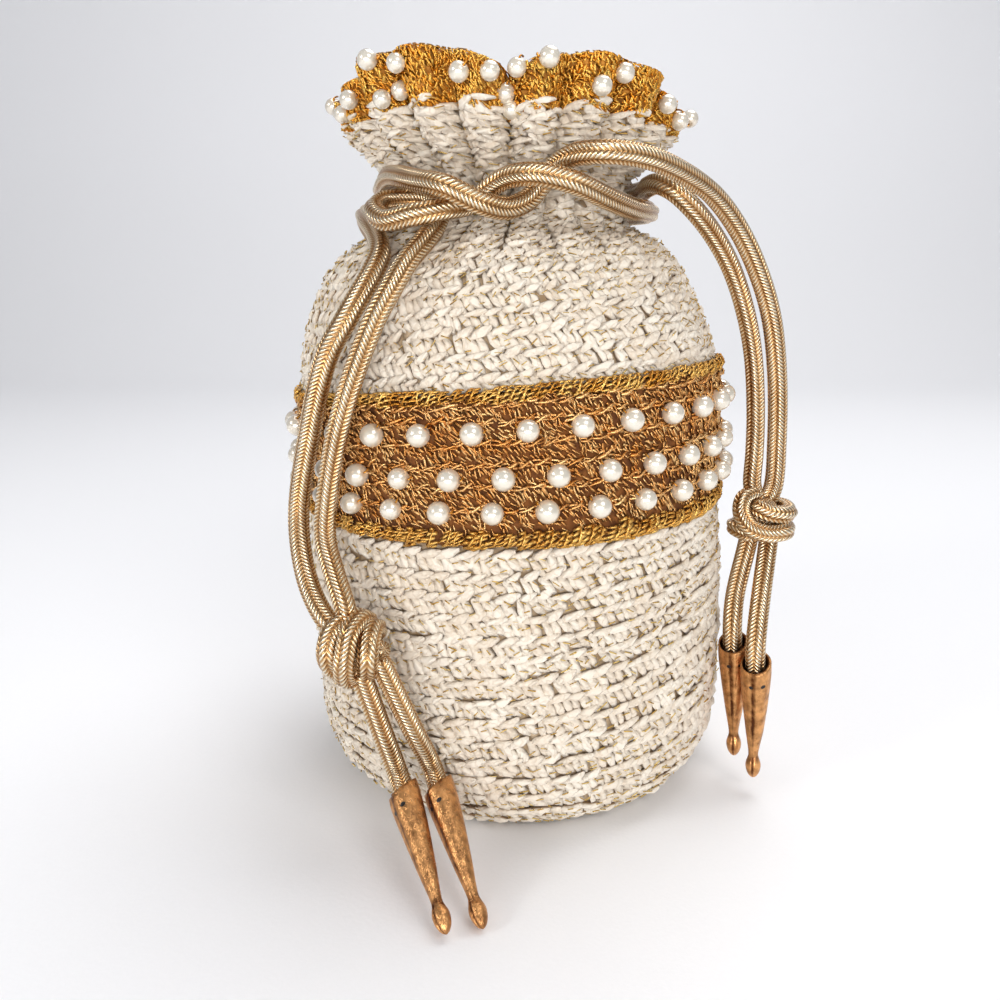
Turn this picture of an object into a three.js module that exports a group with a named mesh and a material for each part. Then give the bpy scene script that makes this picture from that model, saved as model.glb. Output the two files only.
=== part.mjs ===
// A crocheted drawstring pouch that stands on its own flat base: a cream body with a gold pearl band round
// the belly, a neck drawn in by two braided cords, and a gold scalloped ruffle round the open mouth.
// Millimetres, +Z up, origin under the middle of the pouch on the surface it stands on. The front faces -Y.
import * as THREE from 'three';
import { mergeGeometries } from 'three/addons/utils/BufferGeometryUtils.js';

// Driving dimensions
const CREAM_WALL = 3.4;
const GOLD_WALL = 2.8;
const SEAT_GAP = 0.3;
const BASE_RADIUS = 46;
const BAND_FOOT = 87.6;
const BAND_TOP = 122.8;
const RUFFLE_FOOT = 192.3;
const PLEAT_COUNT = 20;
const SCALLOP_COUNT = 5;
const SCALLOP_FULLNESS = 0.7;
const SCALLOP_DIP = 1.3;
const PEARL_RADIUS = 3;
const PEARL_STAND_OFF = 1.2;
const PEARLS_IN_ROW = 30;
const FIELD_RADIUS = 64.2;
const BAND_TURN = 0.028;
const FIELD_FOOT = BAND_FOOT + 5.2;
const FIELD_TOP = BAND_TOP - 4.4;
const CORD_DIAMETER = 5.8;
const KNOT_HALF_HEIGHT = 8.5;
const TIP_LENGTH = 38;
const TIP_BORE_RADIUS = 3.4;
const TIP_BORE_DEPTH = 6;

// Facets round each kind of piece
const PLAIN_SIDES = 30;
const PLEATED_SIDES = PLEAT_COUNT * 2;
const PEARL_SIDES = 10;
const CORD_SIDES = 8;
const KNOT_SIDES = 12;
const TIP_SIDES = 10;

// How the soft pouch has settled. Each row gives, for the ring at that height, its sideways shift, how much
// it rises per millimetre towards the right and towards the front, how deep its pleats are, and how far
// the scallops of the mouth swing out and up, and how far the ring droops at both sides.
const SETTLED = [
  { z: 0, shift: 2.6, right: 0, front: 0, pleat: 0, scallop: 0, lift: 0, droop: 0 },
  { z: 6, shift: 2.6, right: 0, front: 0, pleat: 0, scallop: 0, lift: 0, droop: 0 },
  { z: 40, shift: 2.4, right: 0.07, front: 0, pleat: 0, scallop: 0, lift: 0, droop: 0 },
  { z: 55, shift: 1.4, right: 0.075, front: 0, pleat: 0, scallop: 0, lift: 0, droop: 0 },
  { z: 88, shift: 0, right: 0.02, front: -0.012, pleat: 0, scallop: 0, lift: 0, droop: 0 },
  { z: 122, shift: -1.4, right: 0.08, front: 0.05, pleat: 0, scallop: 0, lift: 0, droop: 0 },
  { z: 148, shift: -3.4, right: 0.05, front: 0.02, pleat: 0, scallop: 0, lift: 0, droop: 0 },
  { z: 156, shift: -3, right: 0.03, front: 0, pleat: 0.4, scallop: 0, lift: 0, droop: 0 },
  { z: 166, shift: -0.8, right: 0, front: 0, pleat: 1.3, scallop: 0, lift: 0, droop: 0 },
  { z: 174, shift: 0, right: 0, front: 0, pleat: 2.8, scallop: 0, lift: 0, droop: 0 },
  { z: 192, shift: -1, right: -0.02, front: 0, pleat: 2.6, scallop: 0.6, lift: 1, droop: 1 },
  { z: 205, shift: -1, right: -0.04, front: 0, pleat: 1.2, scallop: 3.4, lift: 3.4, droop: 6 },
];

// Outer outline of each crocheted piece, from its foot up
const LOWER_BODY = [
  { radius: BASE_RADIUS, z: 0 },
  { radius: 52, z: 1.4 },
  { radius: 58, z: 5.5 },
  { radius: 62.2, z: 12.5 },
  { radius: 64, z: 22 },
  { radius: 64.2, z: 40 },
  { radius: 64.6, z: 62 },
  { radius: 63.8, z: 79 },
  { radius: 62.9, z: BAND_FOOT - SEAT_GAP },
];
const BAND_LOWER_RIDGE = [
  { radius: 64.2, z: BAND_FOOT },
  { radius: 66.3, z: BAND_FOOT + 1.2 },
  { radius: 66.4, z: BAND_FOOT + 3.4 },
  { radius: FIELD_RADIUS, z: FIELD_FOOT },
];
const BAND_UPPER_RIDGE = [
  { radius: FIELD_RADIUS, z: FIELD_TOP },
  { radius: 66, z: BAND_TOP - 3.2 },
  { radius: 66, z: BAND_TOP - 1.2 },
  { radius: 63.8, z: BAND_TOP },
];
const UPPER_BODY = [
  { radius: 62.3, z: BAND_TOP + SEAT_GAP },
  { radius: 61.2, z: 130.5 },
  { radius: 58.8, z: 139 },
  { radius: 55.2, z: 148 },
  { radius: 50.4, z: 156 },
  { radius: 43.8, z: 161.5 },
  { radius: 35, z: 165.6 },
  { radius: 31.4, z: 169.6 },
  { radius: 29.6, z: 174 },
  { radius: 31.2, z: 178.6 },
  { radius: 36.6, z: 183.2 },
  { radius: 41.6, z: 188 },
  { radius: 44.8, z: RUFFLE_FOOT - SEAT_GAP },
];
const RUFFLE = [
  { radius: 45, z: RUFFLE_FOOT },
  { radius: 47.4, z: 198 },
  { radius: 49.4, z: 204.6 },
];

// The three rows of pearls between the ridges of the band: the strip of the band that each row has, the
// height of its pearls, and how far they are set off sideways in their places
const PEARL_ROWS = [
  { foot: 108.6, top: FIELD_TOP, z: 114.4, offset: -3.6 },
  { foot: 100, top: 108.6, z: 104, offset: 3.6 },
  { foot: FIELD_FOOT, top: 100, z: 96.2, offset: 0.6 },
];

// The rings of a pearl from its seat in the wall to its pole, as angles up from its equator
const PEARL_LATITUDES = [-24, 14, 54];

// Routes of the two drawstrings, from the first strand above the knot, round the neck, to the second strand
const LEFT_ROUTE = [
  [-42.7, -64, 71.6], [-46, -59.5, 79.4], [-48.5, -55.5, 87], [-46, -57, 105], [-41, -60, 123],
  [-33.5, -58, 142.5], [-29.5, -55.5, 150], [-25.5, -51, 157], [-21.9, -46.2, 161.6], [-19.4, -40.1, 165.7],
  [-19.1, -35.3, 169.7], [-22.6, -32, 172], [-28, -31, 172.2], [-33.4, -32.8, 171.6],
  [-35.2, -38.6, 169.2], [-31.5, -44.3, 166.5], [-24.5, -47.6, 167.7], [-17.6, -46.3, 169.1],
  [-10.6, -41.4, 170.8], [-3, -43, 176], [4, -47.6, 177.2], [13.5, -48.4, 175.6], [24, -40, 172],
  [32, -28, 170.2], [37.4, -15, 170.3], [40.1, 4, 170.4], [31, 26, 170.4], [10.7, 39, 170.4],
  [-13.8, 38.2, 170.4], [-34.6, 22.4, 170.4], [-42.2, -2, 170.2], [-39, -26, 166.6], [-35.2, -36.4, 162.4],
  [-33.6, -44.4, 157.8], [-40.4, -55, 143.5], [-45.5, -56, 134.5], [-52.5, -50.5, 113], [-57.6, -45.8, 89],
  [-54.5, -53, 74.5], [-48.6, -60.5, 66.6],
];
const RIGHT_ROUTE = [
  [80, -11, 90.3], [80.3, -10, 104], [78.7, -10.5, 124], [75, -13, 141], [69.2, -17, 154],
  [61.7, -22, 165.2], [52.8, -29, 173.6], [42.5, -38, 178.5], [32.4, -46, 181.2], [23, -49.5, 182],
  [15.4, -45.5, 181.8], [11, -41.1, 179.8], [7.8, -39.5, 176], [3.8, -41, 171.6], [-1.7, -44.5, 169.4],
  [-8.3, -49, 170.6], [-16, -50.2, 174.1], [-23.8, -43, 176.1], [-31.4, -29.6, 178.4],
  [-36, -13.6, 177], [-37.8, 6.6, 176.8], [-27.2, 27.2, 176.8], [-6.7, 37.8, 176.8], [16, 34.8, 176.8],
  [33.2, 19.2, 176.8], [38.4, 1.3, 176.8], [38.2, -9.8, 177], [40, -18, 177.2], [43.6, -23, 175],
  [48.6, -23, 170.8], [56, -18, 163.6], [62.6, -13.8, 154.4], [68, -11.4, 142], [71.6, -9.6, 128.8],
  [73.2, -10.6, 112], [73.1, -12.6, 100.3], [73, -13, 91.4],
];

// Each knot sits under the two strands of its cord: top and bottom of its axis
const KNOTS = {
  left: { top: [-45.2, -62.9, 67.6], bottom: [-35.4, -67.6, 53.4] },
  right: { top: [76.5, -12, 89.4], bottom: [74.4, -18, 73.2] },
};

// Each cord end below a knot: where it leaves the knot, a point on its way, and the mouth and end of its tip
const ENDS = {
  left_1: {
    from: [-37.3, -68, 50.5], by: [-33.4, -66.6, 36], mouth: [-28.4, -70, 22.2], end: [-15.4, -98.6, 2.9],
  },
  left_2: {
    from: [-32, -68, 54.2], by: [-25.6, -65.8, 37], mouth: [-19.4, -67, 21.6], end: [-7.4, -94.2, 2.9],
  },
  right_1: {
    from: [71, -18.5, 72.1], by: [67.8, -22, 59], mouth: [67, -26, 45.6], end: [69.6, -27, 7.9],
  },
  right_2: {
    from: [77.4, -18.5, 71.3], by: [73.4, -29, 57], mouth: [72, -34, 42.6], end: [73.8, -34.4, 4.7],
  },
};

// Finishes
const cream = { color: 0xe6dccb, roughness: 0.9, metalness: 0 };
const gold = { color: 0xb8862f, roughness: 0.45, metalness: 0.6 };
const braid = { color: 0xc9ae84, roughness: 0.4, metalness: 0.5 };
const copper = { color: 0xb06a35, roughness: 0.35, metalness: 0.9 };

const pouch = new THREE.Group();

function addPiece(name, geometry, finish) {
  const piece = new THREE.Mesh(geometry, new THREE.MeshStandardMaterial(finish));
  piece.name = name;
  pouch.add(piece);
  return piece;
}

// The settled ring at a height, worked out between the two rows of the table that enclose it
function ringAt(z) {
  const last = SETTLED.length - 1;
  const height = THREE.MathUtils.clamp(z, SETTLED[0].z, SETTLED[last].z);
  const above = Math.max(1, SETTLED.findIndex((row) => row.z >= height));
  const [low, high] = [SETTLED[above - 1], SETTLED[above]];
  const share = (height - low.z) / (high.z - low.z);
  const between = (column) => THREE.MathUtils.lerp(low[column], high[column], share);
  return Object.fromEntries(Object.keys(low).map((column) => [column, between(column)]));
}

// A point of the settled pouch, from its radius, height and angle round the pouch, 0 at the front
function place(radius, z, angle) {
  const ring = ringAt(z);
  const wave = 2 * Math.abs(Math.sin((SCALLOP_COUNT / 2) * angle)) ** SCALLOP_FULLNESS - SCALLOP_DIP;
  const reach = radius - ring.pleat * Math.cos(PLEAT_COUNT * angle) + ring.scallop * wave;
  const across = reach * Math.sin(angle);
  const forward = reach * Math.cos(angle);
  const rise = ring.right * across + ring.front * forward + ring.lift * wave;
  const droop = ring.droop * Math.sin(angle) ** 2;
  return new THREE.Vector3(ring.shift + across, -forward, z + rise - droop);
}

// The inner outline of a wall: its outer outline moved in by the wall's thickness, square to the outline, with
// every other point left out because the inside shows less
function innerOutline(outline, wall) {
  const moved = outline.map(({ radius, z }, i) => {
    const before = outline[Math.max(i - 1, 0)];
    const after = outline[Math.min(i + 1, outline.length - 1)];
    const along = new THREE.Vector2(after.radius - before.radius, after.z - before.z).normalize();
    const atEdge = i === outline.length - 1;
    return {
      radius: radius - wall * (atEdge ? 1 : along.y),
      z: atEdge ? z : z + wall * along.x,
    };
  });
  return moved.filter((_, i) => i % 2 === (outline.length - 1) % 2);
}

// A closed profile turned round the axis, each of its points then moved to its place on the settled pouch
function turned(profile, sides, turn = 0) {
  const points = profile.map(({ radius, z }) => new THREE.Vector2(radius, z));
  const geometry = new THREE.LatheGeometry(points, sides);
  const position = geometry.attributes.position;
  for (let i = 0; i < position.count; i += 1) {
    const angle = Math.atan2(position.getX(i), position.getZ(i)) + turn;
    const radius = Math.hypot(position.getX(i), position.getZ(i));
    const point = place(radius, position.getY(i), angle);
    position.setXYZ(i, point.x, point.y, point.z);
  }
  geometry.computeVertexNormals();
  return geometry;
}

// A crocheted ring, open at both ends
function ringWall(outline, wall, sides) {
  const inner = innerOutline(outline, wall);
  inner[0] = { radius: outline[0].radius - wall, z: outline[0].z };
  return turned([...outline, ...inner.reverse(), outline[0]], sides);
}

// The lower body: a crocheted cup with a flat base
function cup(outline, wall, sides) {
  const inner = innerOutline(outline, wall);
  inner[0] = { radius: outline[0].radius, z: wall };
  return turned([{ radius: 0, z: 0 }, ...outline, ...inner.reverse(), { radius: 0, z: wall }], sides);
}

// One place on the band: a cell of its wall with a pearl sewn in it. The cell is laid out flat, in millimetres
// along the band and up it, and its corners are shared with the cells around it.
function pearlCell({ foot, top, z, offset }, column) {
  const cellAngle = (2 * Math.PI) / PEARLS_IN_ROW;
  const [left, right] = [column, column + 1].map((i) => i * cellAngle * FIELD_RADIUS);
  const centre = new THREE.Vector2((left + right) / 2 + offset, z);
  const turn = (flat) => flat.x / FIELD_RADIUS + BAND_TURN;
  const onPouch = (flat, standOff = 0) => place(FIELD_RADIUS + standOff, flat.y, turn(flat));
  const rings = PEARL_LATITUDES.map((degrees) => {
    const latitude = THREE.MathUtils.degToRad(degrees);
    const inWall = degrees === PEARL_LATITUDES[0];
    const standOff = inWall ? 0 : PEARL_STAND_OFF + PEARL_RADIUS * Math.sin(latitude);
    return Array.from({ length: PEARL_SIDES }, (_, k) => {
      const spoke = new THREE.Vector2(PEARL_RADIUS * Math.cos(latitude), 0);
      const flat = spoke.rotateAround(new THREE.Vector2(), (2 * Math.PI * k) / PEARL_SIDES).add(centre);
      return { flat, point: onPouch(flat, standOff) };
    });
  });
  const outline = [[left, foot], [right, foot], [right, top], [left, top]];
  const corners = outline.map((xy) => new THREE.Vector2(...xy));
  const seat = [...rings[0]].reverse();
  const wall = [...corners.map((flat) => onPouch(flat)), ...seat.map(({ point }) => point)];
  const faces = THREE.ShapeUtils.triangulateShape(corners, [seat.map(({ flat }) => flat)]);
  const points = faces.flatMap((face) => face.map((i) => wall[i]));
  const pole = onPouch(centre, PEARL_STAND_OFF + PEARL_RADIUS);
  for (let k = 0; k < PEARL_SIDES; k += 1) {
    const next = (k + 1) % PEARL_SIDES;
    for (let level = 1; level < rings.length; level += 1) {
      const [a, b] = [rings[level - 1][k].point, rings[level - 1][next].point];
      const [c, d] = [rings[level][next].point, rings[level][k].point];
      points.push(a, b, c, a, c, d);
    }
    const cap = rings[rings.length - 1];
    points.push(cap[k].point, cap[next].point, pole);
  }
  return new THREE.BufferGeometry().setFromPoints(points);
}

// The band: its two ridges and its inner face turned in one piece, closed by the cells with the pearls
function pearlBand() {
  const inner = [
    { radius: BAND_UPPER_RIDGE.at(-1).radius - GOLD_WALL, z: BAND_TOP },
    { radius: BAND_LOWER_RIDGE[0].radius - GOLD_WALL, z: BAND_FOOT },
  ];
  const profile = [...BAND_UPPER_RIDGE, ...inner, ...BAND_LOWER_RIDGE];
  const rim = turned(profile, PEARLS_IN_ROW, BAND_TURN).toNonIndexed();
  rim.deleteAttribute('normal');
  rim.deleteAttribute('uv');
  const columns = Array.from({ length: PEARLS_IN_ROW }, (_, column) => column);
  const cells = PEARL_ROWS.flatMap((row) => columns.map((column) => pearlCell(row, column)));
  const band = mergeGeometries([rim, ...cells]);
  band.computeVertexNormals();
  return band;
}

// A smooth curve whose steps fall on the points of its route
class RouteCurve extends THREE.CatmullRomCurve3 {
  constructor(points) {
    super(points, false, 'centripetal');
  }

  getPointAt(share, target) {
    return this.getPoint(share, target);
  }

  getTangentAt(share, target) {
    return this.getTangent(share, target);
  }
}

// A round cord along a route
function cord(points) {
  const section = Array.from({ length: CORD_SIDES }, (_, k) => {
    const angle = (2 * Math.PI * k) / CORD_SIDES;
    return new THREE.Vector2(Math.cos(angle), Math.sin(angle)).multiplyScalar(CORD_DIAMETER / 2);
  });
  return new THREE.ExtrudeGeometry(new THREE.Shape(section), {
    steps: points.length - 1,
    extrudePath: new RouteCurve(points),
    bevelEnabled: false,
  });
}

const toPoint = (xyz) => new THREE.Vector3(...xyz);

// Puts a piece that is turned about its own +Y axis at a point, with that axis along a direction
function aim(piece, point, direction) {
  piece.position.copy(point);
  piece.quaternion.setFromUnitVectors(new THREE.Vector3(0, 1, 0), direction.clone().normalize());
}

// A knot: a barrel of two turns of the pair of strands, seen as two rounded rolls
function knot() {
  const outline = [
    [0, -1], [5.6, -1], [8.4, -0.78], [9.6, -0.45], [8.9, 0], [9.6, 0.45], [8.4, 0.78], [5.6, 1], [0, 1],
  ];
  const points = outline.map(([radius, height]) => new THREE.Vector2(radius, height * KNOT_HALF_HEIGHT));
  return new THREE.LatheGeometry(points, KNOT_SIDES);
}

// A metal tip: an open cup for the cord, a long cone, a thin neck and a pointed bud
function tip() {
  const outline = [
    [0, TIP_BORE_DEPTH], [TIP_BORE_RADIUS, TIP_BORE_DEPTH], [TIP_BORE_RADIUS, 0], [4.1, 0], [4.3, 3],
    [3.6, 12], [1.5, 30.6], [2.3, 33.6], [1.9, 36], [0, TIP_LENGTH],
  ];
  return new THREE.LatheGeometry(outline.map((point) => new THREE.Vector2(...point)), TIP_SIDES);
}

// Crocheted pieces, from the base up
addPiece('lower_body', cup(LOWER_BODY, CREAM_WALL, PLAIN_SIDES), cream);
addPiece('pearl_band', pearlBand(), gold);
addPiece('upper_body', ringWall(UPPER_BODY, CREAM_WALL, PLEATED_SIDES), cream);
addPiece('ruffle', ringWall(RUFFLE, GOLD_WALL, PLEATED_SIDES), gold);

// Drawstrings and their knots
addPiece('cord_left', cord(LEFT_ROUTE.map(toPoint)), braid);
addPiece('cord_right', cord(RIGHT_ROUTE.map(toPoint)), braid);
for (const [side, { top, bottom }] of Object.entries(KNOTS)) {
  const middle = toPoint(top).lerp(toPoint(bottom), 0.5);
  aim(addPiece(`knot_${side}`, knot(), braid), middle, toPoint(top).sub(toPoint(bottom)));
}

// Cord ends below the knots, each run into the cup of its metal tip
for (const [name, run] of Object.entries(ENDS)) {
  const mouth = toPoint(run.mouth);
  const down = toPoint(run.end).sub(mouth).normalize();
  const entry = mouth.clone().addScaledVector(down, -CORD_DIAMETER);
  const foot = mouth.clone().addScaledVector(down, TIP_BORE_DEPTH - SEAT_GAP);
  addPiece(`tail_${name}`, cord([toPoint(run.from), toPoint(run.by), entry, foot]), braid);
  aim(addPiece(`tip_${name}`, tip(), copper), mouth, down);
}

export default pouch;
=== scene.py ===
"""Looks of a crocheted drawstring pouch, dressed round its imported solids.

Metres, +Z up, the front faces -Y. Classes whose sizes are in millimetres say so.
"""
import logging
import math
from dataclasses import dataclass, field
from enum import Enum
from typing import Any, Callable, NamedTuple, Optional, Sequence, Union

import bpy
import numpy as np
from bpy.types import Material, Mesh, Object
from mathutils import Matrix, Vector


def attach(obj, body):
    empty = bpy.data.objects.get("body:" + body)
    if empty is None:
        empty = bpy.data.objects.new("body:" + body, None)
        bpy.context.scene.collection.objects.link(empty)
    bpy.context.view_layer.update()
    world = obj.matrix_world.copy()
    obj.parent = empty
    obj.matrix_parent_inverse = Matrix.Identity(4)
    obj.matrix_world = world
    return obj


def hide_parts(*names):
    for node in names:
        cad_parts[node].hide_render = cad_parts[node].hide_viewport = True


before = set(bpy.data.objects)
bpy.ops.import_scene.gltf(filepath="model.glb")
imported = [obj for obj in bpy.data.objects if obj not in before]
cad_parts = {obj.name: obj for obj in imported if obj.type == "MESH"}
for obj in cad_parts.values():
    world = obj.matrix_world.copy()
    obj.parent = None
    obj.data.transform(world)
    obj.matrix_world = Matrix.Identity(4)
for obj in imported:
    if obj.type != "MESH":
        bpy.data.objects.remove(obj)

LOG = logging.getLogger("pouch")
MM = 0.001
TURN = 2 * math.pi
BODY = "root"
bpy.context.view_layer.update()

Colour = tuple[float, float, float]
Point = tuple[float, float, float]
Spots = tuple[np.ndarray, np.ndarray]
Value = Union["Term", float, int, bool, str, Sequence[float], bpy.types.ID]


class Slot(Enum):
    """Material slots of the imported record."""

    CREAM = "cream_crochet"
    GOLD = "gold_crochet"
    PEARL = "pearl"
    CORD = "braided_cord"
    TIP = "copper_tip"


def operator(operation: str, reflected: bool = False) -> Callable[["Term", Value], "Term"]:
    """Makes an operator of Term.

    Args:
        operation: The Math node's operation.
        reflected: Whether the term stands on the right.

    Returns:
        The method.
    """
    def method(term: "Term", other: Value) -> "Term":
        """Adds the Math node."""
        return term.sheet.math(operation, *((other, term) if reflected else (term, other)))

    return method


class Term:
    """An output socket of a node tree that takes part in arithmetic."""

    def __init__(self, sheet: "NodeSheet", socket: bpy.types.NodeSocket) -> None:
        """Keeps the tree and the socket."""
        self.sheet = sheet
        self.socket = socket

    __add__ = __radd__ = operator("ADD")
    __mul__ = __rmul__ = operator("MULTIPLY")
    __sub__ = operator("SUBTRACT")
    __rsub__ = operator("SUBTRACT", True)
    __truediv__ = operator("DIVIDE")
    __rtruediv__ = operator("DIVIDE", True)
    __pow__ = operator("POWER")
    __rpow__ = operator("POWER", True)

    def other(self, name: str) -> "Term":
        """Gives another output of the same node."""
        return Term(self.sheet, self.socket.node.outputs[name])

    def apply(self, operation: str, *others: Value) -> "Term":
        """Gives the result of a Math node on this value and others."""
        return self.sheet.math(operation, self, *others)

    def clamped(self) -> "Term":
        """Holds the value between 0 and 1."""
        return self.apply("MAXIMUM", 0.0).apply("MINIMUM", 1.0)

    def wave(self) -> "Term":
        """Gives a wave between 0 and 1 that repeats at each whole number."""
        return (self * TURN).apply("SINE") * 0.5 + 0.5


class NodeSheet:
    """A node tree that is written as expressions."""

    def __init__(self, tree: bpy.types.NodeTree) -> None:
        """Keeps the tree."""
        self.tree = tree

    def node(self, kind: str, settings: Optional[dict[str, Any]] = None,
             sockets: Optional[dict[Union[str, int], Value]] = None) -> Term:
        """Adds a node.

        Args:
            kind: The node's type.
            settings: Its properties, set first; "stops" are the stops of a colour ramp.
            sockets: Values or links of its inputs, by name or place.

        Returns:
            The first output that is in use, or None for an end node.
        """
        node = self.tree.nodes.new(kind)
        for name, value in (settings or {}).items():
            if name == "stops":
                self._set_stops(node.color_ramp, value)
            else:
                setattr(node, name, value)
        for name, value in (sockets or {}).items():
            found = [s for i, s in enumerate(node.inputs) if s.enabled and name in (s.name, i)]
            if isinstance(value, Term):
                self.tree.links.new(value.socket, found[0])
            else:
                found[0].default_value = value
        outputs = [s for s in node.outputs if s.enabled]
        return Term(self, outputs[0]) if outputs else None

    @staticmethod
    def _set_stops(ramp: bpy.types.ColorRamp, stops: Sequence[tuple[float, Colour]]) -> None:
        """Gives a colour ramp its stops."""
        while len(ramp.elements) < len(stops):
            ramp.elements.new(1.0)
        for element, (place, colour) in zip(ramp.elements, stops):
            element.position = place
            element.color = (*colour, 1.0)

    def math(self, operation: str, *values: Value) -> Term:
        """Adds a Math node on up to three values."""
        return self.node("ShaderNodeMath", {"operation": operation}, dict(enumerate(values)))

    def vector(self, operation: str, *values: Value) -> Term:
        """Adds a Vector Math node."""
        return self.node("ShaderNodeVectorMath", {"operation": operation}, dict(enumerate(values)))

    def apart(self, vector: Term) -> tuple[Term, Term, Term]:
        """Takes a vector apart."""
        x = self.node("ShaderNodeSeparateXYZ", {}, {"Vector": vector})
        return x, x.other("Y"), x.other("Z")

    def joined(self, x: Value = 0.0, y: Value = 0.0, z: Value = 0.0) -> Term:
        """Makes a vector of three values."""
        return self.node("ShaderNodeCombineXYZ", {}, {"X": x, "Y": y, "Z": z})


class Paint(NodeSheet):
    """A material under construction."""

    def __init__(self, name: str) -> None:
        """Starts an empty material of that name."""
        self.material = bpy.data.materials.new(name)
        self.material.use_nodes = True
        self.material.node_tree.nodes.clear()
        super().__init__(self.material.node_tree)

    def attribute(self, name: str) -> Term:
        """Reads a value that is kept on the mesh."""
        return self.node("ShaderNodeAttribute", {"attribute_name": name}).other("Fac")

    def place(self) -> Term:
        """Reads the piece's own coordinates."""
        return self.node("ShaderNodeTexCoord").other("Object")

    def uv(self) -> tuple[Term, Term]:
        """Reads the piece's own UV map, as two values."""
        return self.apart(self.node("ShaderNodeUVMap", {"uv_map": "UVMap"}))[:2]

    def noise(self, scale: float, detail: float = 2.0, stretch: Colour = (1.0, 1.0, 1.0)) -> Term:
        """Adds a noise over the piece's own coordinates.

        Args:
            scale: How many grains there are to a metre.
            detail: How many octaves it has.
            stretch: Scale of each axis.

        Returns:
            The noise, about 0.5 on average.
        """
        mapped = self.node("ShaderNodeMapping", {}, {"Vector": self.place(), "Scale": stretch})
        return self.node("ShaderNodeTexNoise", {}, {"Vector": mapped, "Scale": scale, "Detail": detail})

    def strand_shade_mask(self, around: Term, gain: float, base: float) -> Term:
        """Gives 1 on the top of a strand and falls off down its sides: the mask of painted shade on the strand's
        underside.
        """
        return ((around * TURN).apply("SINE") * gain + base).clamped()

    def ramp(self, value: Term, *stops: tuple[float, Colour]) -> Term:
        """Turns a value into a colour."""
        return self.node("ShaderNodeValToRGB", {"stops": stops}, {"Fac": value})

    def mix(self, share: Value, first: Value, second: Value) -> Term:
        """Mixes two colours by a share."""
        a, b = ((*colour, 1.0) if isinstance(colour, tuple) else colour for colour in (first, second))
        return self.node("ShaderNodeMix", {"data_type": "RGBA"}, {"Factor": share, "A": a, "B": b})

    def bump(self, height: Term, distance: float, strength: float) -> Term:
        """Turns a height from 0 to 1 into a normal; the distance is the height of 1, in metres."""
        return self.node("ShaderNodeBump", {}, {"Height": height, "Distance": distance, "Strength": strength})

    def done(self, **sockets: Value) -> Material:
        """Closes the material with one Principled shader.

        Args:
            sockets: Its inputs, with an underscore for each space.

        Returns:
            The material.
        """
        named = {name.replace("_", " "): value for name, value in sockets.items()}
        shader = self.node("ShaderNodeBsdfPrincipled", {}, named)
        self.node("ShaderNodeOutputMaterial", {}, {"Surface": shader})
        return self.material


@dataclass(frozen=True)
class YarnFinish:
    """Matte tape yarn, twisted from a few plies. Grains are counted to a metre."""

    name: str = "cream_yarn"
    light: Colour = (0.86, 0.79, 0.68)
    warm: Colour = (0.74, 0.63, 0.50)
    # painted shade: the colour that each strand darkens to on its underside, towards the wall
    painted_shade: Colour = (0.25, 0.15, 0.07)
    # painted shade: the colour of the thin crease lines in the yarn
    crease_shade: Colour = (0.47, 0.33, 0.20)
    plies: float = 3.0
    twist: float = 1.6
    relief: float = 0.0007
    fibre_grain: float = 2600.0
    crinkle_grain: float = 800.0
    crease_grain: float = 300.0
    patch_grain: float = 90.0

    def material(self) -> Material:
        """Builds the material."""
        paint = Paint(self.name)
        around, along = paint.uv()
        ply = (around * self.plies + along * self.twist).wave()
        fibre = paint.noise(self.fibre_grain, 3.0)
        crinkle = paint.noise(self.crinkle_grain)
        tone = paint.attribute("tint") * 0.6 + paint.noise(self.patch_grain) * 0.3 + crinkle * 0.4
        colour = paint.mix(tone.apply("MULTIPLY_ADD", 1.3, -0.28), self.warm, self.light)
        smooth = ((paint.noise(self.crease_grain) - 0.5).apply("ABSOLUTE") * 16.0).apply("MINIMUM", 1.0)
        height = ply * 0.35 + fibre * 0.15 + crinkle * 0.3 + smooth * 0.2
        plied = paint.mix(ply * 0.35 + 0.65, paint.mix(0.5, self.warm, self.light), colour)
        # Painted shade in the thin crease lines, where smooth falls to 0; the same lines are pressed in as bump.
        plied = paint.mix(smooth * 0.3 + 0.7, self.crease_shade, plied)
        # Painted shade: each strand darkens down its sides towards its underside.
        shaded = paint.mix(paint.strand_shade_mask(around, 1.5, 0.4), self.painted_shade, plied)
        return paint.done(Base_Color=shaded, Roughness=fibre * 0.2 + 0.72, Sheen_Weight=0.2,
                          Sheen_Roughness=0.5, Normal=paint.bump(height, self.relief, 0.8))


@dataclass(frozen=True)
class ThreadFinish:
    """Metallic thread: a thin foil wound round a core."""

    name: str
    dark: Colour
    bright: Colour
    roughness: float
    metallic: float = 0.85
    windings: float = 7.0
    patch_grain: float = 260.0
    relief: float = 0.00012
    shade: float = 0.35

    def material(self) -> Material:
        """Builds the material."""
        paint = Paint(self.name)
        around, along = paint.uv()
        foil = (along * self.windings + around).wave()
        patch = paint.noise(self.patch_grain)
        tone = (paint.attribute("tint") * 0.7 + patch * 0.6).apply("MULTIPLY_ADD", 1.25, -0.28)
        wound = paint.mix(foil * 0.4 + 0.6, self.dark, paint.mix(tone, self.dark, self.bright))
        # Painted shade: each thread darkens down its sides towards its underside, to this share of its dark
        # colour.
        painted_shade = tuple(self.shade * c for c in self.dark)
        return paint.done(Base_Color=paint.mix(paint.strand_shade_mask(around, 1.4, 0.8), painted_shade, wound),
                          Metallic=self.metallic, Roughness=patch * 0.2 + self.roughness - 0.1,
                          Normal=paint.bump(foil, self.relief, 0.4))


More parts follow.
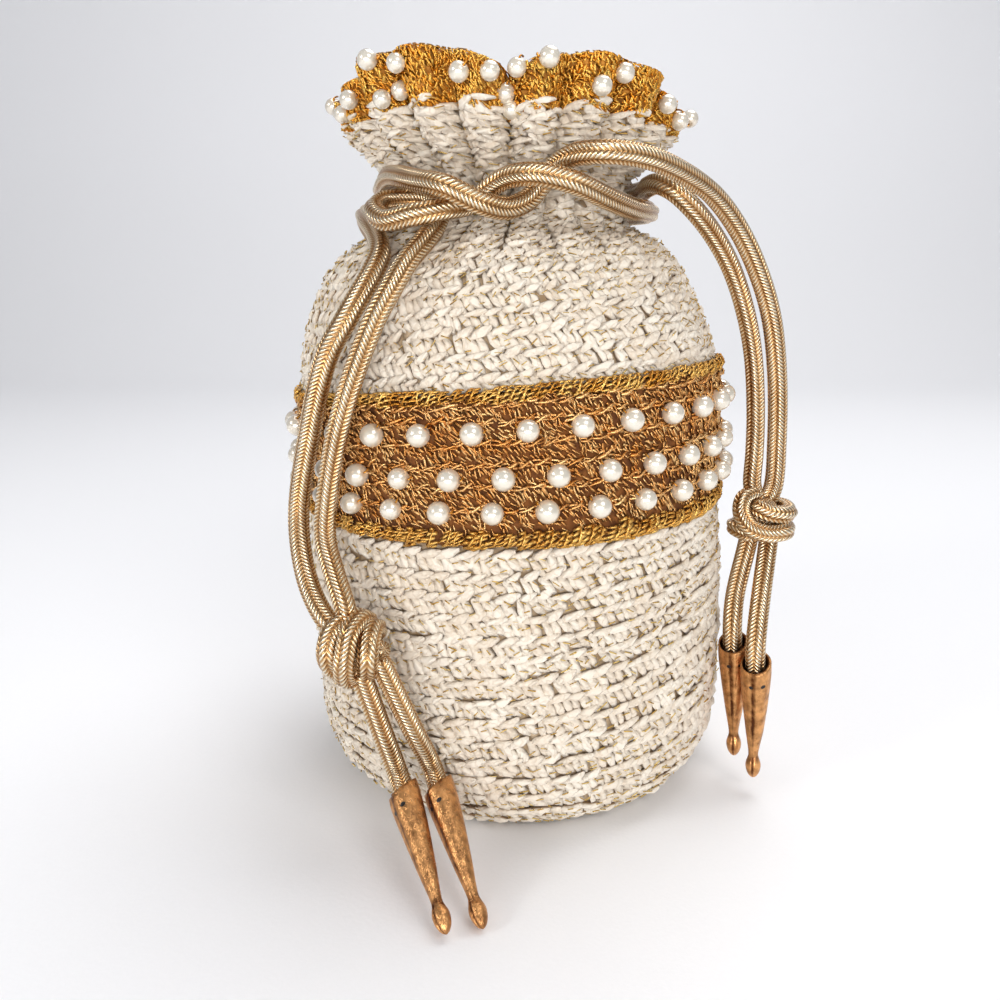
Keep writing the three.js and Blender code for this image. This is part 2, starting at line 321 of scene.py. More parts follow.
@dataclass(frozen=True)
class BackingFinish:
    """Painted shade: the colour of the shaded inside of the crochet, seen between the stitches and in the mouth,
    darker between its rows.
    """

    name: str
    painted_shade: Colour
    light: Colour
    row_pitch: float = 0.0058
    stitches: float = 80.0
    grain: float = 420.0
    relief: float = 0.0016

    def material(self) -> Material:
        """Builds the material."""
        paint = Paint(self.name)
        height = paint.apart(paint.place())[2]
        grain = paint.noise(self.grain, 3.0)
        rows = (height / self.row_pitch + grain * 0.5).wave()
        stitches = (paint.uv()[0] * self.stitches + rows * 0.4 + grain * 0.3).wave()
        relief = rows * 0.4 + stitches * 0.4 + grain * 0.2
        # Painted shade: darker in the hollows between the rows and stitches.
        return paint.done(Base_Color=paint.mix(relief, self.painted_shade, self.light), Roughness=0.9,
                          Normal=paint.bump(relief, self.relief, 0.9))


@dataclass(frozen=True)
class PearlFinish:
    """Ivory pearl with a clear, glossy skin; its colour turns warmer towards the ends of its bore, a painted
    reflection of the gold beside it.
    """

    name: str = "ivory_pearl"
    light: Colour = (0.81, 0.77, 0.67)
    # painted reflection: the warm colour towards the ends of the bore
    warm: Colour = (0.75, 0.57, 0.38)
    swirl_grain: float = 190.0
    relief: float = 0.00004

    def material(self) -> Material:
        """Builds the material."""
        paint = Paint(self.name)
        # Painted reflection of the gold round the pearl: warmer towards the ends of the bore.
        band = (paint.uv()[1] - 0.5).apply("ABSOLUTE") * 2.0
        swirl = paint.noise(self.swirl_grain, 3.0)
        colour = paint.mix(band ** 3.0 * 0.5 + swirl * 0.35, self.light, self.warm)
        return paint.done(Base_Color=colour, Metallic=0.42, Roughness=swirl * 0.12 + 0.18, Coat_Weight=1.0,
                          Coat_Roughness=0.05, Coat_IOR=1.7, Normal=paint.bump(swirl, self.relief, 0.4))


@dataclass(frozen=True)
class BraidFinish:
    """Champagne metallic braid, with painted shade, darker and warmer, in its grooves and a pale painted
    highlight on the crests of its ribs.
    """

    name: str = "champagne_braid"
    groove_shade: Colour = (0.29, 0.13, 0.04)
    body: Colour = (0.56, 0.34, 0.15)
    crest_highlight: Colour = (0.97, 0.88, 0.68)
    vees: float = 3.0
    slope: float = 2.0
    patch_grain: float = 140.0
    relief: float = 0.0003

    def material(self) -> Material:
        """Builds the material."""
        paint = Paint(self.name)
        around, along = paint.uv()
        column = ((around * self.vees).apply("FRACT") - 0.5).apply("ABSOLUTE") * 2.0
        rib = ((along + column * self.slope) * math.pi).apply("SINE") ** 2.0
        bulge = (around * self.vees * TURN).apply("SINE").apply("ABSOLUTE")
        bead = rib * (bulge * 0.6 + 0.4)
        patch = paint.noise(self.patch_grain)
        # Painted shade in the grooves and a painted highlight on the rib crests; the body colour is the braid's
        # own.
        colour = paint.ramp(bead * 0.55 + bulge * 0.3 + patch * 0.3, (0.15, self.groove_shade), (0.5, self.body),
                            (0.95, self.crest_highlight))
        return paint.done(Base_Color=colour, Metallic=0.9, Roughness=patch * 0.12 + 0.18,
                          Normal=paint.bump(bead * 0.8 + bulge * 0.2, self.relief, 0.9))


@dataclass(frozen=True)
class CopperFinish:
    """Folded copper sheet, satin, with random brown patina, painted shade along its seam, in its waist and inside
    its bore, and two holes punched below the mouth.
    """

    name: str = "copper_sheet"
    bright: Colour = (0.74, 0.37, 0.14)
    brown: Colour = (0.12, 0.038, 0.012)
    # painted shade: the dark colour painted where the holes are punched, which have no geometry
    hole_shade: Colour = (0.01, 0.006, 0.004)
    holes: Sequence[tuple[float, float]] = ((0.94, 0.335), (0.06, 0.345))
    hole_radius: float = 0.0125
    hole_width: float = 1.9
    stain_grain: float = 420.0
    scratch_grain: float = 1100.0
    scratch_stretch: Colour = (1.0, 1.0, 0.3)
    relief: float = 0.0007

    def material(self) -> Material:
        """Builds the material."""
        paint = Paint(self.name)
        around, along = paint.uv()
        stain = paint.noise(self.stain_grain, 5.0)
        scratch = paint.noise(self.scratch_grain, 3.0, self.scratch_stretch)
        punched = None
        for u, v in self.holes:
            across = (around - u + 0.5).apply("FRACT") - 0.5
            apart = ((across / self.hole_width) ** 2.0 + (along - v) ** 2.0) ** 0.5
            hole = (apart / self.hole_radius).apply("LESS_THAN", 1.0)
            punched = hole if punched is None else punched.apply("MAXIMUM", hole)
        # Random patina from the noise, plus painted shade where the tip's fold value is high: the seam, the waist
        # and inside the bore.
        patina_and_shade = (stain * 2.2 - 0.85 + paint.attribute("fold")).clamped()
        colour = paint.mix(punched, paint.mix(patina_and_shade, self.bright, self.brown), self.hole_shade)
        height = scratch * 0.6 + stain * 0.4 - punched * 2.0
        return paint.done(Base_Color=colour, Metallic=(1 - punched) * 0.9, Roughness=scratch * 0.3 + 0.16,
                          Normal=paint.bump(height, self.relief, 0.8))


@dataclass(frozen=True)
class GroundFinish:
    """Plain pale ground."""

    name: str = "pale_ground"
    colour: Colour = (0.95, 0.95, 0.965)
    grain: float = 900.0
    relief: float = 0.0002

    def material(self) -> Material:
        """Builds the material."""
        paint = Paint(self.name)
        grain = paint.noise(self.grain)
        soft = tuple(c * 0.97 for c in self.colour)
        return paint.done(Base_Color=paint.mix(grain, soft, self.colour), Roughness=0.9,
                          Normal=paint.bump(grain, self.relief, 0.2))


def unit(vectors: np.ndarray) -> np.ndarray:
    """Brings vectors to a length of 1."""
    return vectors / np.linalg.norm(vectors, axis=-1, keepdims=True)


def distances(line: np.ndarray) -> np.ndarray:
    """Works out how far along a line each of its points is."""
    return np.concatenate([[0.0], np.cumsum(np.linalg.norm(np.diff(line, axis=0), axis=1))])


def read_at(line: np.ndarray, known: np.ndarray, places: np.ndarray) -> np.ndarray:
    """Reads all columns of a line, known at some places, at other places."""
    return np.stack([np.interp(places, known, column) for column in line.T], -1)


def turns(count: int) -> np.ndarray:
    """Gives evenly spaced angles round a full turn."""
    return np.arange(count) / count * TURN


def link(thing: Object) -> Object:
    """Puts an object into the scene."""
    bpy.context.scene.collection.objects.link(thing)
    return thing


def plain_mesh(name: str, points: np.ndarray, faces: Sequence[Sequence[int]] = (),
               uvs: Optional[np.ndarray] = None, **values: np.ndarray) -> Mesh:
    """Makes a smooth mesh.

    Args:
        name: Its name.
        points: Its vertices, n by 3.
        faces: The vertices of each face.
        uvs: One UV for each corner, in the order of the faces.
        values: Numbers or vectors that are kept on the vertices, by name.

    Returns:
        The mesh.
    """
    mesh = bpy.data.meshes.new(name)
    mesh.from_pydata(points.tolist(), [], faces)
    if uvs is not None:
        mesh.uv_layers.new(name="UVMap").data.foreach_set("uv", uvs.astype(np.float32).ravel())
    for label, value in values.items():
        kind, key = ("FLOAT", "value") if value.ndim == 1 else ("FLOAT_VECTOR", "vector")
        kept = mesh.attributes.new(label, kind, "POINT")
        kept.data.foreach_set(key, value.astype(np.float32).ravel())
    for face in mesh.polygons:
        face.use_smooth = True
    mesh.update()
    return mesh


class Draft:
    """Vertices, faces, UVs and one value a vertex, gathered into one mesh."""

    def __init__(self) -> None:
        """Starts empty."""
        self.points: list[np.ndarray] = []
        self.faces: list[list[int]] = []
        self.uvs: list[np.ndarray] = []
        self.values: list[np.ndarray] = []
        self.count = 0

    def rings(self, rings: np.ndarray, poles: Optional[np.ndarray] = None, loop: bool = False,
              values: Optional[np.ndarray] = None, uv_scale: tuple[float, float] = (1.0, 1.0)) -> None:
        """Joins rings of vertices into a skin.

        Args:
            rings: Vertices, ring by ring, n by m by 3, each ring counter-clockwise seen from its far end.
            poles: The first and last pole that close it, 2 by 3.
            loop: Whether the last ring joins the first.
            values: One value for each vertex, n by m.
            uv_scale: How far U and V run round and along it.
        """
        n, m = rings.shape[:2]
        index = np.arange(n * m).reshape(n, m)
        ahead = np.roll(index, -1, axis=0) if loop else index[1:]
        low = index if loop else index[:-1]
        quads = np.stack([low, np.roll(low, -1, 1), np.roll(ahead, -1, 1), ahead], -1).reshape(-1, 4)
        row, column = np.divmod(np.arange(len(quads)), m)
        spans = max(n if loop else n - 1, 1)
        corners = [(0, 0), (1, 0), (1, 1), (0, 1)]
        uv = np.stack([np.stack([(column + du) / m * uv_scale[0], (row + dv) / spans * uv_scale[1]], -1)
                       for du, dv in corners], 1).reshape(-1, 2)
        points, faces, uvs = rings.reshape(-1, 3), [quads], [uv]
        flat = np.zeros(n * m) if values is None else values.reshape(-1)
        if poles is not None:
            points = np.vstack([points, poles])
            around = np.arange(m)
            foot = np.stack([np.roll(index[0], -1), index[0], np.full(m, n * m)], -1)
            head = np.stack([index[-1], np.roll(index[-1], -1), np.full(m, n * m + 1)], -1)
            faces += [foot, head]
            for v in (0.0, uv_scale[1]):
                share = np.stack([(around + 1) / m, around / m, (around + 0.5) / m], -1) * uv_scale[0]
                uvs.append(np.stack([share, np.full_like(share, v)], -1).reshape(-1, 2))
            flat = np.append(flat, [flat[0], flat[-1]])
        for block in faces:
            self.faces += (block + self.count).tolist()
        self.points.append(points)
        self.uvs += uvs
        self.values.append(flat)
        self.count += len(points)

    def strand(self, path: np.ndarray, across: np.ndarray, out: np.ndarray, sides: int) -> None:
        """Adds a closed strand that lies in a flat chart.

        Args:
            path: Its middle line, with its two ends as poles.
            across: Half its width at each inner point, in the plane of the chart.
            out: Half its height at each inner point.
            sides: Facets round it.
        """
        along = unit(np.gradient(path, axis=0)[1:-1])
        side = unit(np.cross([0.0, 0.0, 1.0], along))
        up = np.cross(along, side)
        angle = turns(sides)[None, :, None]
        reach = (np.cos(angle) * side[:, None] * across[:, None, None]
                 + np.sin(angle) * up[:, None] * out[:, None, None])
        self.rings(path[1:-1, None] + reach, path[[0, -1]])

    def mesh(self, name: str, value_name: str = "") -> Mesh:
        """Makes the mesh; the vertices' values are kept under their name, if it is given."""
        values = {value_name: np.concatenate(self.values)} if value_name else {}
        return plain_mesh(name, np.vstack(self.points), self.faces, np.vstack(self.uvs), **values)

    def piece(self, name: str, material: Material, value_name: str = "") -> Object:
        """Makes an object of the mesh, with a finish."""
        mesh = self.mesh(name, value_name)
        mesh.materials.append(material)
        return link(bpy.data.objects.new(name, mesh))


def dress(piece: Object, slot: Slot, *nodes: str) -> Object:
    """Ties a finished piece to the frame.

    Args:
        piece: The piece.
        slot: The record's slot that its finish stands for; not used.
        nodes: The solids that it replaces.

    Returns:
        The piece.
    """
    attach(piece, BODY)
    if nodes:
        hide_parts(*nodes)
    return piece


def smooth_curve(route: Sequence[Sequence[float]], step: float) -> np.ndarray:
    """Runs a centripetal curve through points.

    Args:
        route: The points, n by any number of axes.
        step: Distance between the points that come back.

    Returns:
        Points evenly spaced along the curve.
    """
    points = np.array(route, float)
    held = np.vstack([2 * points[:1] - points[1:2], points, 2 * points[-1:] - points[-2:-1]])
    fine = []
    for k in range(1, len(held) - 2):
        p = held[k - 1:k + 3]
        knots = np.concatenate([[0.0], np.cumsum(np.linalg.norm(np.diff(p, axis=0), axis=1) ** 0.5)])
        t = np.linspace(knots[1], knots[2], 24, endpoint=False)[:, None]
        level = list(p)
        for reach, number in ((1, 3), (2, 2)):
            level = [((knots[i + reach] - t) * level[i] + (t - knots[i]) * level[i + 1])
                     / (knots[i + reach] - knots[i]) for i in range(number)]
        fine.append(((knots[2] - t) * level[0] + (t - knots[1]) * level[1]) / (knots[2] - knots[1]))
    line = np.vstack([*fine, points[-1:]])
    run = distances(line)
    return read_at(line, run, np.linspace(0.0, run[-1], max(2, round(run[-1] / step) + 1)))


class Settled(NamedTuple):
    """How one ring of the soft pouch has settled: lengths in millimetres, rises as slopes."""

    z: float
    shift: float
    right: float = 0.0
    front: float = 0.0
    pleat: float = 0.0
    scallop: float = 0.0
    lift: float = 0.0
    droop: float = 0.0


SETTLED = np.array([
    Settled(0, 2.6),
    Settled(6, 2.6),
    Settled(40, 2.4, 0.07),
    Settled(55, 1.4, 0.075),
    Settled(88, 0, 0.02, -0.012),
    Settled(122, -1.4, 0.08, 0.05),
    Settled(148, -3.4, 0.05, 0.02),
    Settled(156, -3, 0.03, 0, 0.4),
    Settled(166, -0.8, 0, 0, 1.3),
    Settled(174, 0, 0, 0, 2.8),
    Settled(192, -1, -0.02, 0, 2.6, 0.6, 1, 1),
    Settled(205, -1, -0.04, 0, 1.2, 3.4, 3.4, 6),
])
PLEATS = 20
PLEAT_FULLNESS = 1.1
PLEAT_CREASE = 2.6
GATHERED = 3 * PLEATS
SCALLOPS = 5
SCALLOP_FULLNESS = 0.7
SCALLOP_DIP = 1.3


def settle(radius: np.ndarray, z: np.ndarray, angle: np.ndarray) -> np.ndarray:
    """Places points on the settled pouch.

    Args:
        radius: Distances from the axis, in millimetres.
        z: Heights, in millimetres.
        angle: Angles round the pouch, 0 at the front and growing to the right.

    Returns:
        The points, in metres.
    """
    ring = Settled(z, *(np.interp(z, SETTLED[:, 0], column) for column in SETTLED.T[1:]))
    wave = 2 * np.abs(np.sin(SCALLOPS / 2 * angle)) ** SCALLOP_FULLNESS - SCALLOP_DIP
    fold = (1 + PLEAT_CREASE) * np.abs(np.sin(PLEATS / 2 * angle)) ** PLEAT_FULLNESS - PLEAT_CREASE
    reach = radius + ring.pleat * fold + ring.scallop * wave
    across = reach * np.sin(angle)
    forward = reach * np.cos(angle)
    rise = ring.right * across + ring.front * forward + ring.lift * wave - ring.droop * np.sin(angle) ** 2
    return np.stack([ring.shift + across, -forward, z + rise], -1) * MM


@dataclass
class Outline:
    """The outer outline of a crocheted piece, as radius and height in millimetres, from its foot up."""

    points: Sequence[tuple[float, float]]
    step: float = 1.2
    line: np.ndarray = field(init=False)

    def __post_init__(self) -> None:
        """Runs a smooth curve through the points."""
        self.line = smooth_curve(self.points, self.step)

    @property
    def length(self) -> float:
        """Length along the outline, in millimetres."""
        return float(distances(self.line)[-1])

    def inset(self, depth: float) -> np.ndarray:
        """Gives the outline moved inwards by some millimetres."""
        along = unit(np.gradient(self.line, axis=0))
        moved = self.line + depth * np.stack([-along[:, 1], along[:, 0]], -1)
        moved[:, 0] = np.maximum(moved[:, 0], 0.0)
        return moved

    def radius_at(self, places: np.ndarray) -> np.ndarray:
        """Radius at distances along the outline, in millimetres."""
        return np.interp(places, distances(self.line), self.line[:, 0])


class Face(Enum):
    """The side of a wall that stitches stand on."""

    OUTSIDE = 1.0
    INSIDE = -1.0


@dataclass
class Wall:
    """A crocheted wall: what its stitches are laid on, and the shell behind them, in millimetres."""

    name: str
    outline: Outline
    thickness: float
    depth: float
    columns: int
    round_mm: float = TURN * 64.0
    trim: int = 0
    least_radius: float = 0.4
    axis_radius: float = 1.0

    def laid(self, face: Face) -> Object:
        """Makes the sheet that a flat chart is wrapped on.

        Args:
            face: The side of the wall that the stitches stand on.

        Returns:
            A sheet with a UV map and outward directions, to be removed after use.
        """
        profile = self.outline.inset(self.depth if face is Face.OUTSIDE else self.thickness - self.depth)
        share = np.linspace(0.0, 1.0, self.columns + 1)
        radius = np.maximum(profile[:, :1], self.least_radius)
        grid = settle(radius, profile[:, 1:], (share[None, :] - 0.5) * TURN)
        right = np.gradient(grid, axis=1)
        right[:, [0, -1]] = (grid[:, 1:2] - grid[:, -2:-1]) / 2
        outward = unit(np.cross(right, np.gradient(grid, axis=0)) * face.value)
        rows, columns = grid.shape[:2]
        index = np.arange(rows * columns).reshape(rows, columns)
        quads = np.stack([index[:-1, :-1], index[:-1, 1:], index[1:, 1:], index[1:, :-1]], -1).reshape(-1, 4)
        uv = np.stack(np.meshgrid(share, np.linspace(0.0, 1.0, rows)), -1).reshape(-1, 2)
        mesh = plain_mesh(self.name + "_chart", grid.reshape(-1, 3), quads.tolist(), uv[quads.ravel()],
                          outward=outward.reshape(-1, 3))
        return link(bpy.data.objects.new(mesh.name, mesh))

    def spot(self, z: np.ndarray, angle: np.ndarray, lift: float) -> Spots:
        """Finds places over the wall's outside.

        Args:
            z: Heights, in millimetres.
            angle: Angles round the pouch.
            lift: Distance out of the wall, in millimetres.

        Returns:
            The places, in metres, and the wall's outward directions there.
        """
        def at(rise: float, turn: float) -> np.ndarray:
            """Gives the points a little higher or further round."""
            line = self.outline.line
            return settle(np.interp(z + rise, line[:, 1], line[:, 0]), z + rise, angle + turn)

        outward = unit(np.cross(at(0.0, 0.01) - at(0.0, -0.01), at(0.3, 0.0) - at(-0.3, 0.0)))
        return at(0.0, 0.0) + outward * lift * MM, outward

    def shell(self, material: Material) -> Object:
        """Builds the closed shell behind the stitches, with poles where it reaches the axis."""
        top = len(self.outline.line) - 1 - self.trim
        kept = [*range(0, top, 2), top]
        outer, inner = (self.outline.inset(depth)[kept] for depth in (self.depth, self.thickness))
        profile = np.vstack([outer, inner[::-1]])
        on_axis = outer[0, 0] < self.axis_radius
        poles = None
        if on_axis:
            poles = settle(np.zeros((2, 1)), profile[[0, -1], 1:], np.zeros((1, 1)))[:, 0]
            profile = profile[1:-1]
        draft = Draft()
        rings = settle(profile[:, :1], profile[:, 1:], turns(self.columns)[None, :])
        draft.rings(rings, poles, loop=not on_axis)
        return draft.piece(self.name + "_wall", material)


@dataclass
class Chart:
    """Places of the stitches of one wall, on its flat layout in millimetres."""

    wall: Wall
    seed: int
    rows: Sequence[float]
    counts: Sequence[int]
    pitch: Optional[float] = None
    jitter: float = 0.3
    size_spread: float = 0.13
    turn_spread: float = 0.16
    wobble: float = 1.2
    kept: float = 1.0
    least_size: float = 0.6
    crest_rise: float = 4.0
    crest_mean: float = 0.67
    drawn_in: Colour = (0.84, 0.85, 1.2)

    def points(self, name: str) -> Mesh:
        """Makes the points of the chart, each with the size of its stitch.

        Args:
            name: The piece's name.

        Returns:
            A mesh of loose points.
        """
        draw = np.random.default_rng(self.seed)
        round_mm = self.wall.round_mm
        places, sizes = [], []
        for order, (row, count) in enumerate(zip(self.rows, self.counts)):
            gathered = count == GATHERED
            start = 0.5 if gathered else 0.5 * (order % 2)
            x = (np.arange(count) + start) / count * round_mm
            width = round_mm / count / self.pitch if self.pitch else 1.0
            spread = draw.normal(0.0, 1.0, (count, 5))
            y = row + spread[:, 1] * self.jitter
            size = (1.0 + self.size_spread * spread[:, 2:]) * (width, 1.0, 1.0)
            if gathered:
                pleat = x / round_mm * PLEATS
                y += self.crest_rise * (np.abs(np.sin(math.pi * pleat)) - self.crest_mean)
                middle = np.floor(pleat) + 0.5
                x = (middle + (pleat - middle) * self.drawn_in[0]) * round_mm / PLEATS
                size *= self.drawn_in
            places.append(np.stack([x + spread[:, 0] * self.jitter * width, y, np.zeros(count)], -1))
            sizes.append(size)
        chosen = draw.random(sum(self.counts)) < self.kept
        size = np.clip(np.vstack(sizes)[chosen], self.least_size, None)
        return plain_mesh(name + "_points", np.vstack(places)[chosen] * MM, size=size)


class GrowthTree(NodeSheet):
    """Geometry nodes that set a shape on each point, make the copies real and give them a finish."""

    NAME = "growth"
    INPUTS: dict[str, str] = {}

    def __init__(self) -> None:
        """Builds the tree."""
        super().__init__(bpy.data.node_groups.new(self.NAME, "GeometryNodeTree"))
        inputs = {"Geometry": "Geometry", "Shape": "Object", "Seed": "Int", "Finish": "Material"}
        add = self.tree.interface.new_socket
        self.sockets = {name: add(name, in_out="INPUT", socket_type="NodeSocket" + kind).identifier
                        for name, kind in {**inputs, **self.INPUTS}.items()}
        add("Geometry", in_out="OUTPUT", socket_type="NodeSocketGeometry")
        self.given = self.node("NodeGroupInput")
        smooth = self.node("GeometryNodeSetShadeSmooth", {}, {"Geometry": self.placed()})
        finish = self.given.other("Finish")
        dressed = self.node("GeometryNodeSetMaterial", {}, {"Geometry": smooth, "Material": finish})
        self.node("NodeGroupOutput", {}, {"Geometry": dressed})

    def placed(self) -> Term:
        """Places the shapes and makes them real."""
        raise NotImplementedError

    def geometry(self, name: str) -> Term:
        """Reads the mesh of an object that is given."""
        return self.node("GeometryNodeObjectInfo", {}, {"Object": self.given.other(name)}).other("Geometry")

    def kept(self, name: str) -> Term:
        """Reads a vector that is kept on a mesh."""
        return self.node("GeometryNodeInputNamedAttribute", {"data_type": "FLOAT_VECTOR"}, {"Name": name})

    def drawn(self, low: Value, high: Value, order: int) -> Term:
        """Draws a random value for each point; the order is added to the seed."""
        sockets = {"Min": low, "Max": high, "Seed": self.given.other("Seed") + order}
        return self.node("FunctionNodeRandomValue", {"data_type": "FLOAT"}, sockets)

    def scaled(self, vector: Term, by: Term) -> Term:
        """Multiplies a vector by a number."""
        return self.node("ShaderNodeVectorMath", {"operation": "SCALE"}, {"Vector": vector, "Scale": by})

    def set_on_points(self, rotation: Term, size: Term) -> Term:
        """Sets the shape on each point."""
        return self.node("GeometryNodeInstanceOnPoints", {}, {
            "Points": self.given, "Instance": self.geometry("Shape"), "Rotation": rotation, "Scale": size})

    def grown(self, name: str, points: Mesh, shape: Mesh,
              values: dict[str, Value]) -> Object:
        """Grows one piece.

        Args:
            name: The piece's name.
            points: Where the shapes go.
            shape: The mesh of one of them.
            values: The other inputs of the tree.

        Returns:
            The piece, a plain mesh.
        """
        pattern = link(bpy.data.objects.new(name + "_shape", shape))
        piece = link(bpy.data.objects.new(name, points))
        modifier = piece.modifiers.new(self.NAME, "NODES")
        modifier.node_group = self.tree
        for label, value in {"Shape": pattern, **values}.items():
            modifier[self.sockets[label]] = value
        graph = bpy.context.evaluated_depsgraph_get()
        mesh = bpy.data.meshes.new_from_object(piece.evaluated_get(graph), preserve_all_data_layers=True,
                                               depsgraph=graph)
        piece.modifiers.clear()
        piece.data = mesh
        bpy.data.objects.remove(pattern)
        return piece


class StitchTree(GrowthTree):
    """Sets a stitch on each point of a flat chart and wraps the chart on a wall."""

    NAME = "stitches_on_a_wall"
    INPUTS = {"Wall": "Object", "Round": "Float", "Height": "Float", "Turn Spread": "Float",
              "Wobble": "Float"}
    TURN_SHARES = (0.4, 0.4, 1.0)
    WOBBLE_GRAIN = 330.0
    EDGE = 0.0005
    FLOOR = 0.0001

    def placed(self) -> Term:
        """Lays the stitches on the flat chart and wraps it."""
        return self.wrapped(self.laid())

    def laid(self) -> Term:
        """Sets a stitch on each point, a little turned and bent, with a tint of its own."""
        spread = self.given.other("Turn Spread")
        tilt, lean, turn = (self.drawn(spread * -share, spread * share, order)
                            for order, share in enumerate(self.TURN_SHARES))
        size = self.kept("size")
        wide = self.apart(size)[0]
        euler = self.joined(tilt, lean / wide, turn / wide)
        stitches = self.set_on_points(self.node("FunctionNodeEulerToRotation", {}, {"Euler": euler}), size)
        tinted = self.node("GeometryNodeStoreNamedAttribute", {"data_type": "FLOAT", "domain": "INSTANCE"},
                           {"Geometry": stitches, "Name": "tint", "Value": self.drawn(0.0, 1.0, 3)})
        real = self.node("GeometryNodeRealizeInstances", {}, {"Geometry": tinted})
        noise = self.node("ShaderNodeTexNoise", {}, {"Scale": self.WOBBLE_GRAIN, "Detail": 1.0})
        centred = self.vector("SUBTRACT", noise.other("Color"), (0.5, 0.5, 0.5))
        moved = self.scaled(centred, self.given.other("Wobble"))
        return self.node("GeometryNodeSetPosition", {}, {"Geometry": real, "Offset": moved})

    def wrapped(self, laid: Term) -> Term:
        """Wraps the flat chart on the wall, with its height along the wall's outward direction."""
        place = self.node("GeometryNodeInputPosition")
        x, y, height = self.apart(place)
        share = (x / self.given.other("Round")).apply("FRACT")
        rise = y / self.given.other("Height")
        at = self.joined(share, rise.apply("MAXIMUM", self.EDGE).apply("MINIMUM", 1 - self.EDGE))
        sampled = {"Mesh": self.geometry("Wall"), "UV Map": self.kept("UVMap"), "Sample UV": at}
        foot, way = (self.node("GeometryNodeSampleUVSurface", {"data_type": "FLOAT_VECTOR"},
                               {**sampled, "Value": value}) for value in (place, self.kept("outward")))
        x, y, z = self.apart(self.vector("ADD", foot, self.scaled(way, height)))
        rested = self.joined(x, y, z.apply("MAXIMUM", self.FLOOR))
        return self.node("GeometryNodeSetPosition", {}, {"Geometry": laid, "Position": rested})

    def grow(self, name: str, chart: Chart, stitch: Mesh, material: Material,
             face: Face = Face.OUTSIDE) -> Object:
        """Grows one piece of stitches.

        Args:
            name: The piece's name.
            chart: Where the stitches go.
            stitch: The mesh of one stitch.
            material: Their finish.
            face: The side of the chart's wall that they stand on.

        Returns:
            The piece, a plain mesh.
        """
        wall = chart.wall
        sheet = wall.laid(face)
        piece = self.grown(name, chart.points(name), stitch, {
            "Wall": sheet, "Round": wall.round_mm * MM, "Height": wall.outline.length * MM,
            "Turn Spread": chart.turn_spread, "Wobble": chart.wobble * MM, "Seed": chart.seed,
            "Finish": material})
        bpy.data.objects.remove(sheet)
        return piece


def lobe(draft: Draft, start: Point, end: Point, half_width: float, half_height: float, sides: int,
         rings: int, bow: float = 0.0, lift: float = 0.0, skew: float = 1.0) -> None:
    """Adds one plump strand of yarn to a stitch.

    Args:
        draft: The stitch.
        start: Its first end on the chart, in millimetres.
        end: Its last end.
        half_width: Half its greatest width.
        half_height: Half its greatest height.
        sides: Facets round it.
        rings: Rings along it.
        bow: How far its middle is bent like an S.
        lift: How far its middle is arched out.
        skew: Above 1, it is plumper towards its last end.
    """
    inner = (1 - np.cos(np.pi * (np.arange(rings) + 0.75) / (rings + 0.5))) / 2
    share = np.concatenate([[0.0], inner, [1.0]])
    path = np.outer(1 - share, start) + np.outer(share, end)
    along = unit(np.subtract(end, start)[:2])
    path[:, :2] += np.outer(np.sin(share * TURN) * bow, [-along[1], along[0]])
    path[:, 2] += np.sin(share * np.pi) * lift
    plump = np.sqrt(np.sin(inner ** skew * np.pi))
    draft.strand(path * MM, plump * half_width * MM, plump * half_height * MM, sides)


def thread(draft: Draft, points: Sequence[Point], radius: float, sides: int = 4, rings: int = 4) -> None:
    """Adds one thin thread of even thickness to a stitch.

    Args:
        draft: The stitch.
        points: Points on its way over the chart, in millimetres.
        radius: Its radius.
        sides: Facets round it.
        rings: Rings along it.
    """
    line = smooth_curve(points, 0.1)
    places = np.concatenate([[0.0], np.linspace(0.06, 0.94, rings), [1.0]]) * (len(line) - 1)
    path = read_at(line, np.arange(len(line)), places)
    even = np.full(rings, radius * MM)
    draft.strand(path * MM, even, even, sides)


